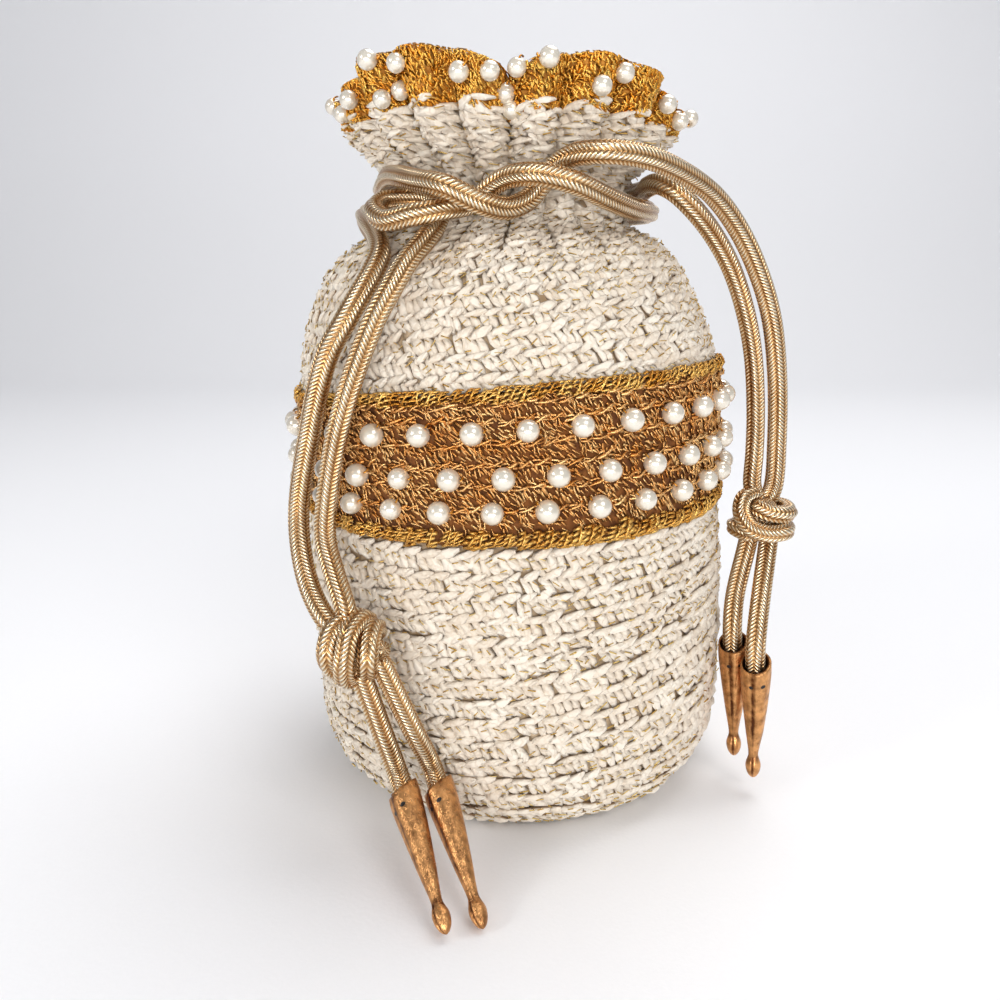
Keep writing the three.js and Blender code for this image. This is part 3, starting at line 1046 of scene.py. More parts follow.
class Stitches:
    """The meshes of single stitches on the chart: X to the right, Y up, Z out of the wall, in millimetres."""

    @staticmethod
    def cream() -> Mesh:
        """A leaning leaf of yarn with the two short posts that it stands on."""
        draft = Draft()
        lobe(draft, (-3.7, -0.5, -0.2), (3.6, 2.5, 1.4), 1.25, 1.1, sides=8, rings=4, bow=0.25, lift=0.35,
             skew=1.2)
        for x, lean, z in ((-1.7, 2.3, 0.45), (0.9, 1.9, 0.2)):
            lobe(draft, (x - lean, 1.0, z), (x + lean, -5.0, z - 0.6), 1.5, 1.2, sides=5, rings=3, bow=0.3,
                 lift=0.5)
        return draft.mesh("cream_stitch")

    @staticmethod
    def glint() -> Mesh:
        """The thin metallic thread that runs with the cream yarn."""
        draft = Draft()
        for x, y, rise in ((-2.3, -1.2, 0.5), (0.6, -0.4, -0.4), (1.2, -3.3, 0.3)):
            thread(draft, [(x - 0.9, y - rise, 1.7), (x + 0.9, y + rise, 2.0)], 0.19, sides=3, rings=2)
        return draft.mesh("glint_stitch")

    @staticmethod
    def strokes(lean: float) -> Mesh:
        """A few short ends of metallic thread, leaning to the left as they rise."""
        draft = Draft()
        for x, y, z, more in ((-0.8, 0.3, 0.1, 0.3), (0.1, -0.4, 0.35, -0.2), (0.9, 0.2, 0.2, 0.1)):
            way = lean + more
            ends = [(x + way, y - 0.9, z + 0.15), (x - way, y + 0.9, z + 0.25)]
            thread(draft, ends, 0.35, sides=3, rings=2)
        return draft.mesh("strokes")

    @staticmethod
    def gold() -> Mesh:
        """An open stitch of metallic thread: a crossed chain above and slanting posts below."""
        draft = Draft()
        thread(draft, [(-2.3, 1.5, 0.5), (-0.6, 1.55, 1.2), (0.9, 2.15, 1.25), (2.4, 2.5, 0.6)], 0.36)
        thread(draft, [(-2.1, 2.4, 0.3), (-0.4, 2.3, 0.7), (0.8, 1.5, 0.65), (2.2, 1.4, 0.4)], 0.32)
        for x, y in ((-1.6, 0.4), (-0.2, -0.3), (1.2, 0.2), (-0.9, -1.6), (0.5, -1.9)):
            thread(draft, [(x - 0.6, y + 0.7, 0.55), (x + 0.6, y - 0.7, 0.45)], 0.36, sides=3, rings=2)
        return draft.mesh("gold_stitch")

    @staticmethod
    def ridge() -> Mesh:
        """One proud stitch of the band's edge: short ends of thread round a bead, crossed by a loop."""
        draft = Draft()
        for x, y, rise in ((-1.2, -1.7, 0.1), (0.6, -1.5, 0.3), (-0.4, -0.8, 0.5), (1.3, -0.5, 0.3),
                           (-1.3, 0.0, 0.4), (0.4, 0.3, 0.5), (-0.7, 1.0, 0.4), (1.1, 1.2, 0.3),
                           (0.0, 1.8, 0.1)):
            z = 2.0 - 0.3 * y * y
            way = [(x - 1.2, y - rise, z - 0.5), (x, y + 0.2, z + 0.1), (x + 1.2, y + rise, z - 0.5)]
            thread(draft, way, 0.38, sides=3, rings=3)
        thread(draft, [(-0.9, -1.9, 0.8), (-0.5, -0.4, 2.2), (0.3, 0.8, 2.2), (1.0, 2.0, 0.9)], 0.3)
        return draft.mesh("ridge_stitch")


class Beads:
    """The meshes of one pearl and of the thread that holds it, facing +Z, bored along X, in millimetres."""

    @staticmethod
    def pearl(radius: float, sides: int = 18, rings: int = 10, bore: float = 0.16) -> Mesh:
        """A round pearl with a small dimple at each end of its bore."""
        tilt = np.linspace(bore, np.pi - bore, rings)[:, None]
        turn = turns(sides)
        wide = np.sin(tilt)
        ring = np.stack([np.cos(tilt) + 0 * turn, wide * np.cos(turn), -wide * np.sin(turn)], -1)
        draft = Draft()
        draft.rings(ring * radius * MM, np.array([[0.8, 0.0, 0.0], [-0.8, 0.0, 0.0]]) * radius * MM)
        return draft.mesh("pearl")

    @staticmethod
    def loop(radius: float) -> Mesh:
        """The thread that comes out of a pearl's bore at both ends and goes into the wall."""
        draft = Draft()
        for way in (1.0, -1.0):
            path = [(0.75 * way, 0.0, 0.0), (1.06 * way, 0.06, -0.05), (1.1 * way, 0.2, -0.45),
                    (0.9 * way, 0.3, -0.9)]
            thread(draft, np.array(path) * radius, 0.25, sides=5, rings=6)
        return draft.mesh("pearl_loop")


class PearlTree(GrowthTree):
    """Sets a bead on each point, turned to face out of the wall."""

    NAME = "beads_on_a_wall"
    INPUTS = {"Spin": "Float"}
    SPIN = 0.5
    SIZES = (0.94, 1.04)

    def placed(self) -> Term:
        """Sets the beads, each a little spun and with a size of its own."""
        spin = self.given.other("Spin")
        out = self.kept("outward")
        level = self.node("FunctionNodeAlignRotationToVector", {"axis": "Z"}, {"Vector": out})
        euler = self.joined(z=self.drawn(spin * -1.0, spin, 0))
        spun = self.node("FunctionNodeEulerToRotation", {}, {"Euler": euler})
        rotation = self.node("FunctionNodeRotateRotation", {"rotation_space": "LOCAL"},
                             {"Rotation": level, "Rotate By": spun})
        beads = self.set_on_points(rotation, self.drawn(*self.SIZES, 1))
        return self.node("GeometryNodeRealizeInstances", {}, {"Geometry": beads})

    def sew(self, prefix: str, spots: Spots, radius: float, seed: int, pearl: Material,
            held_by: Material) -> list[Object]:
        """Sews pearls on, each with the thread that holds it.

        Args:
            prefix: Start of the two pieces' names.
            spots: The pearls' centres and the directions that they face.
            radius: The pearls' radius, in millimetres.
            seed: Seed of their turns.
            pearl: Their finish.
            held_by: The thread's finish.

        Returns:
            The dressed pearls and threads.
        """
        pieces = []
        for name, bead, finish, slot in (("_pearls", Beads.pearl(radius), pearl, Slot.PEARL),
                                         ("_pearl_loops", Beads.loop(radius), held_by, Slot.GOLD)):
            points = plain_mesh(prefix + name + "_points", spots[0], outward=spots[1])
            values = {"Spin": self.SPIN, "Seed": seed, "Finish": finish}
            pieces.append(dress(self.grown(prefix + name, points, bead, values), slot))
        return pieces


class Kit:
    """The finishes and node trees that the pieces share."""

    def __init__(self) -> None:
        """Makes each of them once."""
        self.cream = YarnFinish().material()
        self.glint = ThreadFinish("glint_thread", (0.58, 0.34, 0.07), (0.95, 0.73, 0.30), 0.28,
                                  metallic=0.9).material()
        self.band = ThreadFinish("band_thread", (0.62, 0.25, 0.05), (1.0, 0.67, 0.30), 0.25).material()
        self.edge = ThreadFinish("edge_thread", (0.58, 0.25, 0.03), (1.0, 0.67, 0.21), 0.26).material()
        self.rim = ThreadFinish("rim_thread", (0.76, 0.30, 0.02), (1.0, 0.68, 0.17), 0.24).material()
        # The backings are painted shade for the gaps between stitches and for the inside of the mouth.
        self.cream_backing = BackingFinish("cream_backing", (0.32, 0.21, 0.11), (0.60, 0.46, 0.31)).material()
        self.gold_backing = BackingFinish("gold_backing", (0.09, 0.026, 0.004),
                                          (0.24, 0.08, 0.012)).material()
        self.rim_backing = BackingFinish("rim_backing", (0.30, 0.10, 0.01), (0.68, 0.30, 0.045)).material()
        self.pearl = PearlFinish().material()
        self.cord = BraidFinish().material()
        self.copper = CopperFinish().material()
        self.stitches = StitchTree()
        self.beads = PearlTree()


@dataclass
class CreamWall:
    """A cream wall of rows of leaning stitches, with a metallic thread run in, in millimetres."""

    node: str
    wall: Wall
    backing: Wall
    seed: int
    first_row: float
    top_margin: float
    gathers: float = math.inf
    row_pitch: float = 5.8
    gathered_pitch: float = 4.1
    stitch_pitch: float = 5.03
    full_radius: float = 48.0
    full_count: int = 80
    least_count: int = 5

    def rows(self) -> tuple[list[float], list[int]]:
        """Works out the rows.

        Returns:
            The height of each row on the chart, and how many stitches it has.
        """
        last = self.wall.outline.length - self.top_margin
        bend = min(last, self.gathers)
        places = np.linspace(self.first_row, bend, round((bend - self.first_row) / self.row_pitch) + 1)
        if bend < last:
            number = round((last - bend) / self.gathered_pitch)
            places = np.append(places, np.linspace(bend, last, number + 1)[1:])
        radius = self.wall.outline.radius_at(places)
        tight = np.maximum(self.least_count, np.round(TURN * radius / self.stitch_pitch))
        counts = np.where(radius > self.full_radius, self.full_count, tight)
        counts = np.where(places > bend, GATHERED, counts)
        return places.tolist(), counts.astype(int).tolist()

    def build(self, kit: Kit) -> list[Object]:
        """Builds the stitches, their metallic thread and the wall behind them."""
        rows, counts = self.rows()
        chart = Chart(self.wall, self.seed, rows, counts, self.stitch_pitch)
        glints = Chart(self.wall, self.seed + 50, rows, counts, self.stitch_pitch, jitter=0.6,
                       turn_spread=0.25, wobble=1.4, kept=0.8)
        yarn = kit.stitches.grow(self.node + "_stitches", chart, Stitches.cream(), kit.cream)
        metal = kit.stitches.grow(self.node + "_glints", glints, Stitches.glint(), kit.glint)
        return [dress(yarn, Slot.CREAM, self.node), dress(metal, Slot.CREAM),
                dress(self.backing.shell(kit.cream_backing), Slot.CREAM)]


def frames(path: np.ndarray) -> tuple[np.ndarray, np.ndarray]:
    """Carries a pair of directions along a line without twisting it.

    Args:
        path: The line, n by 3.

    Returns:
        Two directions at each point, square to the line and to each other.
    """
    along = unit(np.gradient(path, axis=0))
    first = [unit(np.cross(along[0], [0.0, 1.0, 0.0] if abs(along[0][1]) < 0.8 else [1.0, 0.0, 0.0]))]
    for way in along[1:]:
        first.append(unit(first[-1] - way * (first[-1] @ way)))
    side = np.array(first)
    return side, np.cross(along, side)


@dataclass(frozen=True)
class Braid:
    """A tubular braid: ribs in vees round a soft core, a strip for each side of a vee, in millimetres."""

    radius: float = 2.9
    sides: int = 36
    step: float = 0.9
    vees: int = 3
    rib_pitch: float = 1.1
    relief: float = 0.5
    end_share: float = 0.8
    declared_every: int = 4

    def lay(self, draft: Draft, route: Sequence[Point]) -> np.ndarray:
        """Adds a length of braid.

        Args:
            draft: The mesh it goes into.
            route: Points on its way.

        Returns:
            Its middle line, in metres.
        """
        path = smooth_curve(route, self.step)
        side, up = frames(path)
        turn = turns(self.sides)
        bulge = np.abs(np.sin(turn * self.vees))
        reach = np.tile(self.radius - self.relief * (1 - bulge), (len(path), 1))
        reach[[0, -1]] *= self.end_share
        ring = np.cos(turn)[:, None] * side[:, None] + np.sin(turn)[:, None] * up[:, None]
        length = (len(path) - 1) * np.linalg.norm(path[1] - path[0])
        draft.rings((path[:, None] + reach[..., None] * ring) * MM, path[[0, -1]] * MM,
                    uv_scale=(1.0, length / self.rib_pitch))
        return path * MM

    def cord(self, node: str, route: Sequence[Point],
             material: Material) -> tuple[Object, np.ndarray]:
        """Makes the dressed piece of one cord, and gives it with its middle line."""
        draft = Draft()
        path = self.lay(draft, route)
        return dress(draft.piece(node + "_braid", material), Slot.CORD, node), path

    def declare(self, piece: Object, path: np.ndarray, far_end: str, stiffness: str, lay: str,
                carried: Object) -> None:
        """Does nothing: the facts of a free cord are passed in and not used.

        Args:
            piece: The cord; not used.
            path: Its middle line, in metres; not used.
            far_end: What is on its far end; not used.
            stiffness: How stiff it is; not used.
            lay: How it lies; not used.
            carried: The piece on its end; not used.
        """


@dataclass
class Knot:
    """An overhand knot; each roll is given by points to its right, front and top, in millimetres."""

    node: str
    top: Point
    bottom: Point
    rolls: Sequence[Sequence[Point]]
    strand: Braid = Braid(radius=2.8)
    core: tuple[float, float] = (6.0, 7.0)
    core_rings: int = 9
    core_sides: int = 24

    def axes(self) -> tuple[np.ndarray, np.ndarray]:
        """Gives the knot's middle and its right, front and up directions."""
        top, bottom = np.array(self.top), np.array(self.bottom)
        up = unit(top - bottom)
        right = unit(np.cross([0.0, 1.0, 0.0], up))
        return (top + bottom) / 2, np.array([right, np.cross(right, up), up])

    def build(self, material: Material) -> Object:
        """Builds the rolls round a filled core."""
        middle, axes = self.axes()
        draft = Draft()
        for roll in self.rolls:
            self.strand.lay(draft, middle + np.array(roll) @ axes)
        wide, tall = self.core
        lift = np.linspace(-0.9, 0.9, self.core_rings)[:, None]
        turn = turns(self.core_sides)
        reach = wide * np.sqrt(1 - lift ** 2)
        egg = np.stack([reach * np.cos(turn), -reach * np.sin(turn), lift * tall + 0 * turn], -1)
        poles = np.array([[0.0, 0.0, -tall], [0.0, 0.0, tall]])
        draft.rings((middle + egg @ axes) * MM, (middle + poles @ axes) * MM, uv_scale=(6.0, 8.0))
        return dress(draft.piece(self.node + "_braid", material), Slot.CORD, self.node)


@dataclass
class CordTip:
    """A cone of copper sheet, folded round the end of a cord, with a bud at its point, in millimetres."""

    node: str
    mouth: Point
    end: Point
    seam_deg: float
    length: float = 38.0
    depth: float = 8.0
    lip: float = 2.0
    lip_deg: float = 150.0
    lip_end: float = 11.0
    lap: float = 0.75
    lap_end: float = 30.0
    lap_fade: float = 8.0
    neck: float = 30.6
    bud_start: float = 31.0
    bud_radius: float = 2.3
    bud_groove: float = 0.5
    seam_width: float = 0.13
    sides: int = 44
    profile: Sequence[tuple[float, float]] = (
        (4.2, 0.0), (4.3, 3.0), (3.6, 12.0), (2.5, 21.5), (1.45, 30.4), (1.7, 31.4), (2.25, 33.4),
        (1.9, 35.8), (1.0, 37.4), (0.25, 37.9))
    bore: Sequence[tuple[float, float]] = ((1.0, 8.0), (2.6, 7.4), (3.55, 4.0), (3.65, 0.2))

    def build(self, material: Material) -> Object:
        """Builds the folded cone, from the bottom of its bore over its rim to its point."""
        mouth = np.array(self.mouth)
        down = unit(np.array(self.end) - mouth)
        front = unit(np.array([0.0, -1.0, 0.0]) + down * down[1])
        right = np.cross(front, down)
        inner = smooth_curve(self.bore, 0.6)
        radius, z = np.vstack([inner, smooth_curve(self.profile, 0.75)]).T[..., None]
        outside = np.arange(len(z))[:, None] >= len(inner)
        turn = turns(self.sides)
        past = (turn - math.radians(self.seam_deg)) % TURN
        edge = np.exp(-(np.minimum(past, TURN - past) / self.seam_width) ** 2)
        lapel = np.clip(past / 0.12, 0.0, 1.0) * np.clip((2.4 - past) / 1.6, 0.0, 1.0)
        fade = np.clip((self.lap_end - z) / self.lap_fade, 0.0, 1.0) * outside
        bud = (z > self.bud_start) * outside
        reach = radius + self.lap * fade * lapel - self.bud_groove * bud * edge * radius / self.bud_radius
        lip = self.lip * np.clip(1 - z / self.lip_end, 0.0, 1.0) * np.cos(turn - math.radians(self.lip_deg))
        ring = np.cos(turn)[:, None] * front + np.sin(turn)[:, None] * right
        points = mouth + reach[..., None] * ring + (z - lip)[..., None] * down
        waist = np.exp(-(z - self.neck) ** 2) * outside
        # Painted shade, kept as the fold value: darker along the seam and the bud's groove, inside the bore and
        # round the waist.
        fold = 0.9 * edge * np.maximum(fade, bud) + 0.8 * ~outside + 0.5 * waist
        poles = mouth + np.array([self.depth, self.length])[:, None] * down
        draft = Draft()
        draft.rings(points[:, ::-1] * MM, poles * MM, values=fold[:, ::-1])
        return dress(draft.piece(self.node + "_sheet", material, "fold"), Slot.TIP, self.node)


@dataclass
class CordEnd:
    """The free end of a cord below its knot, and the tip on it, in millimetres."""

    name: str
    start: Point
    by: Point
    mouth: Point
    end: Point
    seam_deg: float = -22.0
    inside: float = 5.7
    tuck: float = 5.0

    def build(self, braid: Braid, kit: Kit) -> list[Object]:
        """Builds the end, from inside the knot into the tip's mouth."""
        tip = CordTip("tip_" + self.name, self.mouth, self.end, self.seam_deg).build(kit.copper)
        start, mouth = np.array(self.start), np.array(self.mouth)
        into = start + unit(start - np.array(self.by)) * self.tuck
        held = unit(np.array(self.end) - mouth) * self.inside
        route = [into, start, self.by, mouth - held, mouth + held]
        tail, path = braid.cord("tail_" + self.name, route, kit.cord)
        braid.declare(tail, path, "fitting", "limp", "hanging", tip)
        return [tip, tail]


@dataclass
class Drawstring:
    """One braided cord round the neck, its ends tied in one knot and tipped, in millimetres."""

    node: str
    route: Sequence[Point]
    knot: Knot
    ends: Sequence[CordEnd]
    braid: Braid = Braid()
    tuck: float = 0.5

    def build(self, kit: Kit) -> list[Object]:
        """Builds the cord, its knot and its ends."""
        middle = self.knot.axes()[0]
        ends = np.array(self.route[0]), np.array(self.route[-1])
        first, last = (end + (middle - end) * self.tuck for end in ends)
        cord, path = self.braid.cord(self.node, [first, *self.route, last], kit.cord)
        knot = self.knot.build(kit.cord)
        self.braid.declare(cord, path, "knot", "medium", "loose", knot)
        return [cord, knot] + [piece for end in self.ends for piece in end.build(self.braid, kit)]


class PearlRow(NamedTuple):
    """One row of the band's pearls: its height, and how far it is offset along the band, in millimetres."""

    z: float
    offset: float


@dataclass
class PearlBand:
    """The gold band: open metallic crochet between two ridges, sewn with rows of pearls, in millimetres."""

    node: str
    wall: Wall
    edged: Wall
    seed: int = 21
    radius: float = 64.2
    chain_rows: Sequence[float] = (7.2, 12.2, 17.2, 22.2, 27.2, 31.0)
    chain_count: int = 96
    chain_pitch: float = 4.2
    ridge_rows: Sequence[float] = (2.9, 36.4)
    ridge_count: int = 120
    stroke_span: tuple[float, float] = (1.6, 34.6)
    stroke_pitch: float = 1.9
    stroke_count: int = 96
    stroke_lean: float = 0.7
    pearl_rows: Sequence[PearlRow] = (PearlRow(114.4, -3.6), PearlRow(104.0, 3.6), PearlRow(96.2, 0.6))
    pearls_in_row: int = 30
    pearl_radius: float = 3.0
    pearl_lift: float = 1.2
    turn: float = 0.028

    def spots(self) -> Spots:
        """Works out the pearls' centres and the directions that they face."""
        column = (np.arange(self.pearls_in_row) + 0.5) / self.pearls_in_row * TURN + self.turn
        found = [self.wall.spot(np.full(self.pearls_in_row, row.z), column + row.offset / self.radius,
                                self.pearl_lift) for row in self.pearl_rows]
        return np.vstack([places for places, _ in found]), np.vstack([ways for _, ways in found])

    def build(self, kit: Kit) -> list[Object]:
        """Builds the band."""
        rows = np.arange(*self.stroke_span, self.stroke_pitch).tolist()
        chains = Chart(self.wall, self.seed, self.chain_rows, [self.chain_count] * len(self.chain_rows),
                       self.chain_pitch, turn_spread=0.2, wobble=1.4)
        strokes = Chart(self.wall, self.seed + 3, rows, [self.stroke_count] * len(rows), jitter=0.6,
                        turn_spread=0.6)
        ridges = Chart(self.edged, self.seed + 1, self.ridge_rows, [self.ridge_count] * len(self.ridge_rows),
                       turn_spread=0.2, wobble=1.3)
        grow = kit.stitches.grow
        return [dress(grow("band_stitches", chains, Stitches.gold(), kit.band), Slot.GOLD, self.node),
                dress(grow("band_strokes", strokes, Stitches.strokes(self.stroke_lean), kit.band), Slot.GOLD),
                dress(grow("band_ridges", ridges, Stitches.ridge(), kit.edge), Slot.GOLD),
                dress(self.wall.shell(kit.gold_backing), Slot.GOLD),
                *kit.beads.sew("band", self.spots(), self.pearl_radius, self.seed + 2, kit.pearl, kit.edge)]


class Sewn(NamedTuple):
    """A pearl sewn on the ruffle: angle round the mouth in degrees, height in millimetres."""

    angle: float
    z: float


@dataclass
class Ruffle:
    """The gold scalloped edge round the mouth, with pairs of pearls, in millimetres."""

    node: str
    wall: Wall
    pearls: Sequence[Sewn]
    seed: int = 31
    counts: tuple[int, int] = (220, 130)
    first_row: float = 0.9
    row_pitch: float = 1.5
    stroke_lean: float = 0.3
    pearl_lift: float = 1.9
    pearl_radius: float = 2.45

    def spots(self) -> Spots:
        """Works out the pearls' centres and the directions that they face."""
        angle, z = np.array(self.pearls).T
        return self.wall.spot(z, np.radians(angle), self.pearl_lift)

    def build(self, kit: Kit) -> list[Object]:
        """Builds the ruffle."""
        rows = np.arange(self.first_row, self.wall.outline.length, self.row_pitch).tolist()
        strokes = []
        for face, count in zip(Face, self.counts):
            chart = Chart(self.wall, self.seed, rows, [count] * len(rows), jitter=0.4, turn_spread=0.7,
                          wobble=1.6)
            stroke = Stitches.strokes(self.stroke_lean)
            strokes.append(kit.stitches.grow("ruffle_" + face.name.lower(), chart, stroke, kit.rim, face))
        return [dress(strokes[0], Slot.GOLD, self.node), dress(strokes[1], Slot.GOLD),
                dress(self.wall.shell(kit.rim_backing), Slot.GOLD),
                *kit.beads.sew("ruffle", self.spots(), self.pearl_radius, self.seed + 2, kit.pearl, kit.rim)]


class Lamp(NamedTuple):
    """A soft lamp: its place and its size in metres, and its power."""

    name: str
    place: Point
    size: tuple[float, float]
    power: float


@dataclass
class Stage:
    """Plain ground, soft light and the camera."""

    camera_place: Point = (0.0, -0.2794, 0.156)
    pitch_deg: float = -14.7
    yaw_deg: float = 0.76
    lens_mm: float = 32.4
    sensor_mm: float = 36.0
    floor_z: float = -0.0002
    half_width: float = 3.0
    wall_y: float = 0.9
    wall_bend: float = 0.35
    wall_top: float = 3.0
    sky: Colour = (0.95, 0.96, 1.0)
    sky_strength: float = 0.36
    aim: Point = (0.0, 0.0, 0.1)
    lamps: Sequence[Lamp] = (
        Lamp("key", (0.4, -0.7, 0.75), (0.45, 0.45), 2.3),
        Lamp("front", (-0.05, -1.0, 0.15), (1.2, 0.26), 5.7),
        Lamp("side", (-0.75, -0.45, 0.5), (0.24, 0.24), 1.6),
        Lamp("top", (0.3, 0.35, 1.25), (1.0, 1.0), 9.2))

    def camera(self) -> None:
        """Sets the camera at the viewing angle."""
        data = bpy.data.cameras.new("camera")
        data.lens = self.lens_mm
        data.sensor_width = self.sensor_mm
        data.clip_start = 0.01
        camera = link(bpy.data.objects.new("camera", data))
        camera.location = self.camera_place
        camera.rotation_euler = (math.radians(90 + self.pitch_deg), 0.0, math.radians(self.yaw_deg))
        bpy.context.scene.camera = camera

    def ground(self) -> None:
        """Lays a pale floor that curves up behind into a wall."""
        half, bend = self.half_width, self.wall_bend
        turn = np.linspace(0.0, math.pi / 2, 16)
        profile = [(-half, 0.0), *zip(self.wall_y + bend * np.sin(turn), bend * (1 - np.cos(turn))),
                   (self.wall_y + bend, self.wall_top)]
        points = np.array([(x, y, self.floor_z + z) for y, z in profile for x in (-half, half)])
        quads = [(k, k + 1, k + 3, k + 2) for k in range(0, len(points) - 2, 2)]
        mesh = plain_mesh("ground", points, quads)
        mesh.materials.append(GroundFinish().material())
        link(bpy.data.objects.new("ground", mesh))

    def light(self) -> None:
        """Adds soft studio light."""
        scene = bpy.context.scene
        scene.view_settings.view_transform = "Standard"
        scene.world = bpy.data.worlds.new("studio")
        scene.world.use_nodes = True
        sky = scene.world.node_tree.nodes["Background"]
        sky.inputs["Color"].default_value = (*self.sky, 1.0)
        sky.inputs["Strength"].default_value = self.sky_strength
        for lamp in self.lamps:
            data = bpy.data.lights.new(lamp.name, "AREA")
            data.shape = "ELLIPSE"
            data.size, data.size_y = lamp.size
            data.energy = lamp.power
            light = link(bpy.data.objects.new(lamp.name, data))
            light.location = lamp.place
            way = Vector(self.aim) - Vector(lamp.place)
            light.rotation_euler = way.to_track_quat("-Z", "Y").to_euler()

    def build(self) -> None:
        """Sets the whole stage."""
        self.camera()
        self.ground()
        self.light()


LEFT_STRING = Drawstring(
    "cord_left",
    [(-42.7, -64, 71.6), (-46, -59.5, 79.4), (-48.5, -55.5, 87), (-46, -57, 105), (-41, -60, 123),
     (-33.5, -58, 142.5), (-29.5, -55.5, 150), (-25.5, -51, 157), (-21.9, -46.2, 161.6),
     (-19.4, -40.1, 165.7), (-19.1, -35.3, 169.7), (-22.6, -32, 172), (-28, -31, 172.2),
     (-33.4, -32.8, 171.6), (-35.2, -38.6, 169.2), (-31.5, -44.3, 166.5), (-24.5, -47.6, 167.7),
     (-17.6, -46.3, 169.1), (-10.6, -41.4, 170.8), (-3, -43, 176), (4, -47.6, 177.2), (13.5, -48.4, 175.6),
     (24, -40, 172), (32, -28, 170.2), (37.4, -15, 170.3), (40.1, 4, 170.4), (31, 26, 170.4),
     (10.7, 39, 170.4), (-13.8, 38.2, 170.4), (-34.6, 22.4, 170.4), (-42.2, -2, 170.2), (-39, -26, 166.6),
     (-35.2, -36.4, 162.4), (-33.6, -44.4, 157.8), (-40.4, -55, 143.5), (-45.5, -56, 134.5),
     (-52.5, -50.5, 113), (-57.6, -45.8, 89), (-54.5, -53, 74.5), (-48.6, -60.5, 66.6)],
    Knot("knot_left", (-45.2, -62.9, 67.6), (-35.4, -67.6, 53.4), [
        [(-5.5, -3.0, -3.5), (-7.0, 2.0, -1.4), (-4.8, 5.8, 2.4), (-0.8, 4.6, 6.4), (3.5, 0.0, 6.8),
         (5.0, -4.0, 4.5)],
        [(-2.0, -2.5, -7.0), (-4.8, 3.5, -5.6), (-2.6, 6.8, -2.8), (0.4, 7.6, 0.4), (3.4, 6.4, 3.6),
         (6.0, 2.0, 5.0), (5.8, -3.5, 3.0)],
        [(-0.5, -4.0, -6.6), (0.8, 3.0, -6.8), (3.2, 6.0, -4.8), (5.6, 5.4, -1.4), (7.2, 1.2, 1.4),
         (6.0, -4.0, 0.5), (0.0, -6.6, 0.0)],
        [(5.0, -4.0, -4.5), (0.0, -6.6, -3.5), (-5.5, -4.2, -2.5), (-6.8, 0.5, -4.0), (-3.0, 4.0, -6.0)]]),
    [CordEnd("left_1", (-37.3, -68, 50.5), (-33.4, -66.6, 36), (-28.4, -70, 22.2), (-15.4, -98.6, 2.9)),
     CordEnd("left_2", (-32, -68, 54.2), (-25.6, -65.8, 37), (-19.4, -67, 21.6), (-7.4, -94.2, 2.9))])

RIGHT_STRING = Drawstring(
    "cord_right",
    [(80, -11, 90.3), (80.3, -10, 104), (78.7, -10.5, 124), (75, -13, 141), (69.2, -17, 154),
     (61.7, -22, 165.2), (52.8, -29, 173.6), (42.5, -38, 178.5), (32.4, -46, 181.2), (23, -49.5, 182),
     (15.4, -45.5, 181.8), (11, -41.1, 179.8), (7.8, -39.5, 176), (3.8, -41, 171.6), (-1.7, -44.5, 169.4),
     (-8.3, -49, 170.6), (-16, -50.2, 174.1), (-23.8, -43, 176.1), (-31.4, -29.6, 178.4), (-36, -13.6, 177),
     (-37.8, 6.6, 176.8), (-27.2, 27.2, 176.8), (-6.7, 37.8, 176.8), (16, 34.8, 176.8), (33.2, 19.2, 176.8),
     (38.4, 1.3, 176.8), (38.2, -9.8, 177), (40, -18, 177.2), (43.6, -23, 175), (48.6, -23, 170.8),
     (56, -18, 163.6), (62.6, -13.8, 154.4), (68, -11.4, 142), (71.6, -9.6, 128.8), (73.2, -10.6, 112),
     (73.1, -12.6, 100.3), (73, -13, 91.4)],
    Knot("knot_right", (76.5, -12, 89.4), (74.4, -18, 73.2), [
        [(-2.5, 2.5, 7.0), (-6.4, 4.0, 4.6), (-7.2, 5.2, 0.2), (-4.6, 6.6, -4.0), (0.6, 7.2, -5.2),
         (5.6, 6.2, -4.0), (7.4, 2.0, -2.0), (5.2, -4.0, 0.5), (0.0, -6.6, 1.5), (-5.0, -4.5, 2.0)],
        [(-3.6, 5.6, 2.8), (0.0, 7.4, 1.0), (4.2, 7.0, 1.0), (7.2, 4.0, 2.4), (6.8, -1.0, 4.4),
         (2.5, -5.2, 5.2), (-3.0, -4.6, 5.4)],
        [(5.0, -4.0, -4.5), (0.0, -6.6, -3.5), (-5.5, -4.2, -2.5), (-6.8, 0.5, -4.0), (-3.0, 4.0, -6.0)]]),
    [CordEnd("right_1", (71, -18.5, 72.1), (67.8, -22, 59), (67, -26, 45.6), (69.6, -27, 7.9)),
     CordEnd("right_2", (77.4, -18.5, 71.3), (73.4, -29, 57), (72, -34, 42.6), (73.8, -34.4, 4.7))])

RUFFLE_PEARLS = [Sewn(angle, z) for angle, z in (
    (-94.5, 203), (-87, 201.5), (-66, 198), (-59, 199.5), (-41.5, 203.8), (-30, 201.5), (-41.5, 195.5),
    (-35, 197.5), (-12.5, 200.2), (-6.5, 201.2), (4, 203.6), (10.5, 204), (1, 199), (-1.5, 194.4),
    (26, 197.8), (32, 201.6), (58, 201.2), (64, 198), (84, 204.2), (91, 203.5), (105, 197.5), (111, 199.5),
    (127, 203), (134, 202.5), (152, 198), (158, 200), (176, 203.2), (183, 203), (201, 198.5), (207, 200.5),
    (222, 203), (229, 202.4), (245, 198), (251, 199.5))]

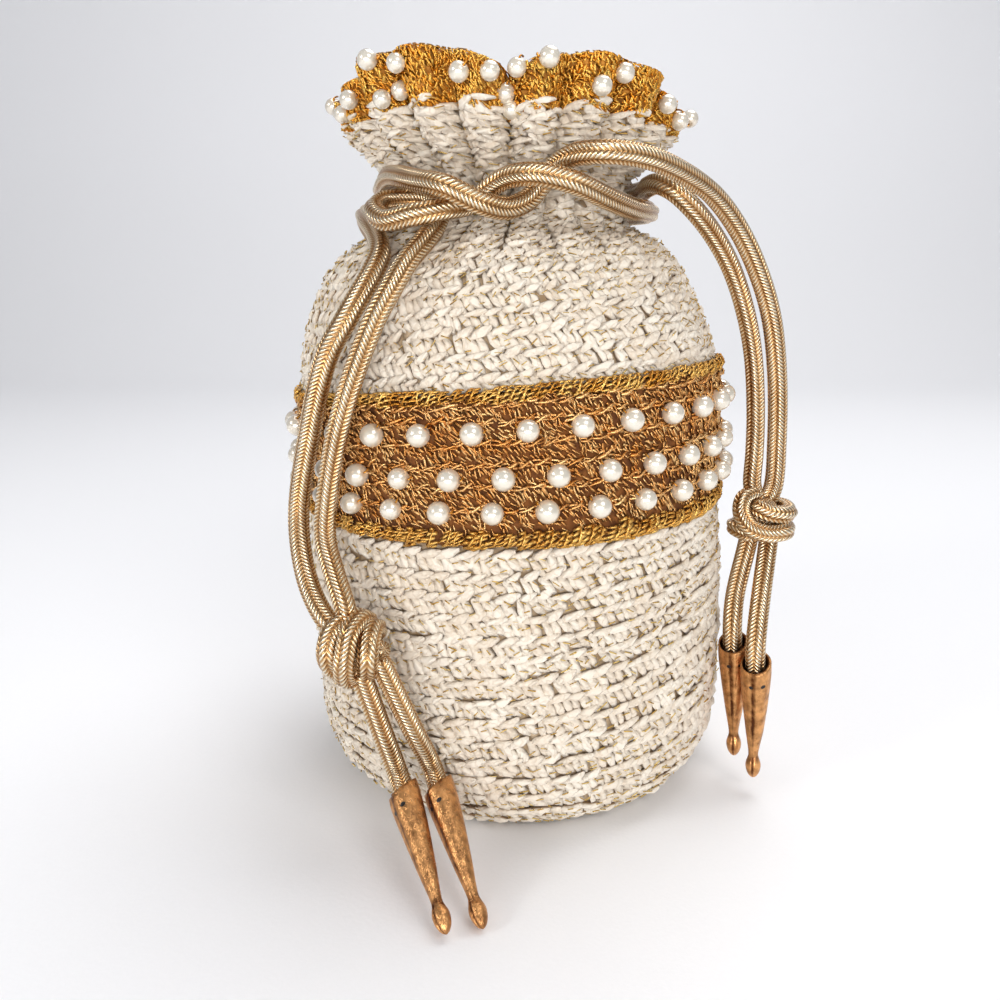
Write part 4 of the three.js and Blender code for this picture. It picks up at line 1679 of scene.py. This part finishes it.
LOWER = Outline([(0.6, 0.0), (20, 0.0), (40, 0.0), (46, 0.0), (52, 1.4), (58, 5.5), (62.2, 12.5), (64, 22),
                 (64.2, 40), (64.6, 62), (63.8, 79), (62.9, 87.3)])
UPPER = Outline([(62.3, 123.1), (61.2, 130.5), (58.8, 139), (55.2, 148), (50.4, 156), (43.8, 161.5),
                 (35, 165.6), (31.4, 169.6), (29.6, 174), (31.2, 178.6), (36.6, 183.2), (41.6, 188), (44.8, 192)])
CROWNED = Outline([*UPPER.points, (46.4, 195.6)])
BAND = Outline([(63.9, 87.7), (64.2, 93), (64.2, 105), (64.2, 118), (63.7, 122.7)])
EDGED = Outline([(63.4, 86.6), (63.9, 88.2), (64.2, 93), (64.2, 118), (63.6, 122.2), (62.6, 124.6)])
RIM = Outline([(45, 192.3), (47.4, 198), (49.4, 204.6)], step=0.8)
RIM_ROUND = TURN * 47.0
CREAM_THICK, CREAM_DEPTH = 3.4, 1.6
GOLD_THICK, GOLD_DEPTH, RIM_DEPTH = 2.8, 0.9, 0.7


def main() -> None:
    """Builds the stage and the pouch, piece by piece."""
    logging.basicConfig(level=logging.INFO, format="%(message)s")
    Stage().build()
    kit = Kit()
    lower = Wall("lower_body", LOWER, CREAM_THICK, CREAM_DEPTH, columns=100)
    upper = Wall("upper_body", UPPER, CREAM_THICK, CREAM_DEPTH, columns=160)
    crowned = Wall("upper_stitches", CROWNED, CREAM_THICK, CREAM_DEPTH, columns=240)
    band = Wall("pearl_band", BAND, GOLD_THICK, GOLD_DEPTH, columns=120)
    edged = Wall("band_edges", EDGED, GOLD_THICK, GOLD_DEPTH, columns=120)
    rim = Wall("ruffle", RIM, GOLD_THICK, RIM_DEPTH, columns=200, round_mm=RIM_ROUND, trim=1)
    for part in (LEFT_STRING,
                 RIGHT_STRING,
                 CreamWall("lower_body", lower, lower, seed=11, first_row=3.4, top_margin=2.9),
                 CreamWall("upper_body", crowned, upper, seed=12, first_row=3.0, top_margin=3.4,
                           gathers=38.0),
                 PearlBand("pearl_band", band, edged),
                 Ruffle("ruffle", rim, RUFFLE_PEARLS)):
        for piece in part.build(kit):
            triangles = sum(len(face.vertices) - 2 for face in piece.data.polygons)
            LOG.info("%s: %d triangles", piece.name, triangles)


if __name__ == "__main__":
    main()
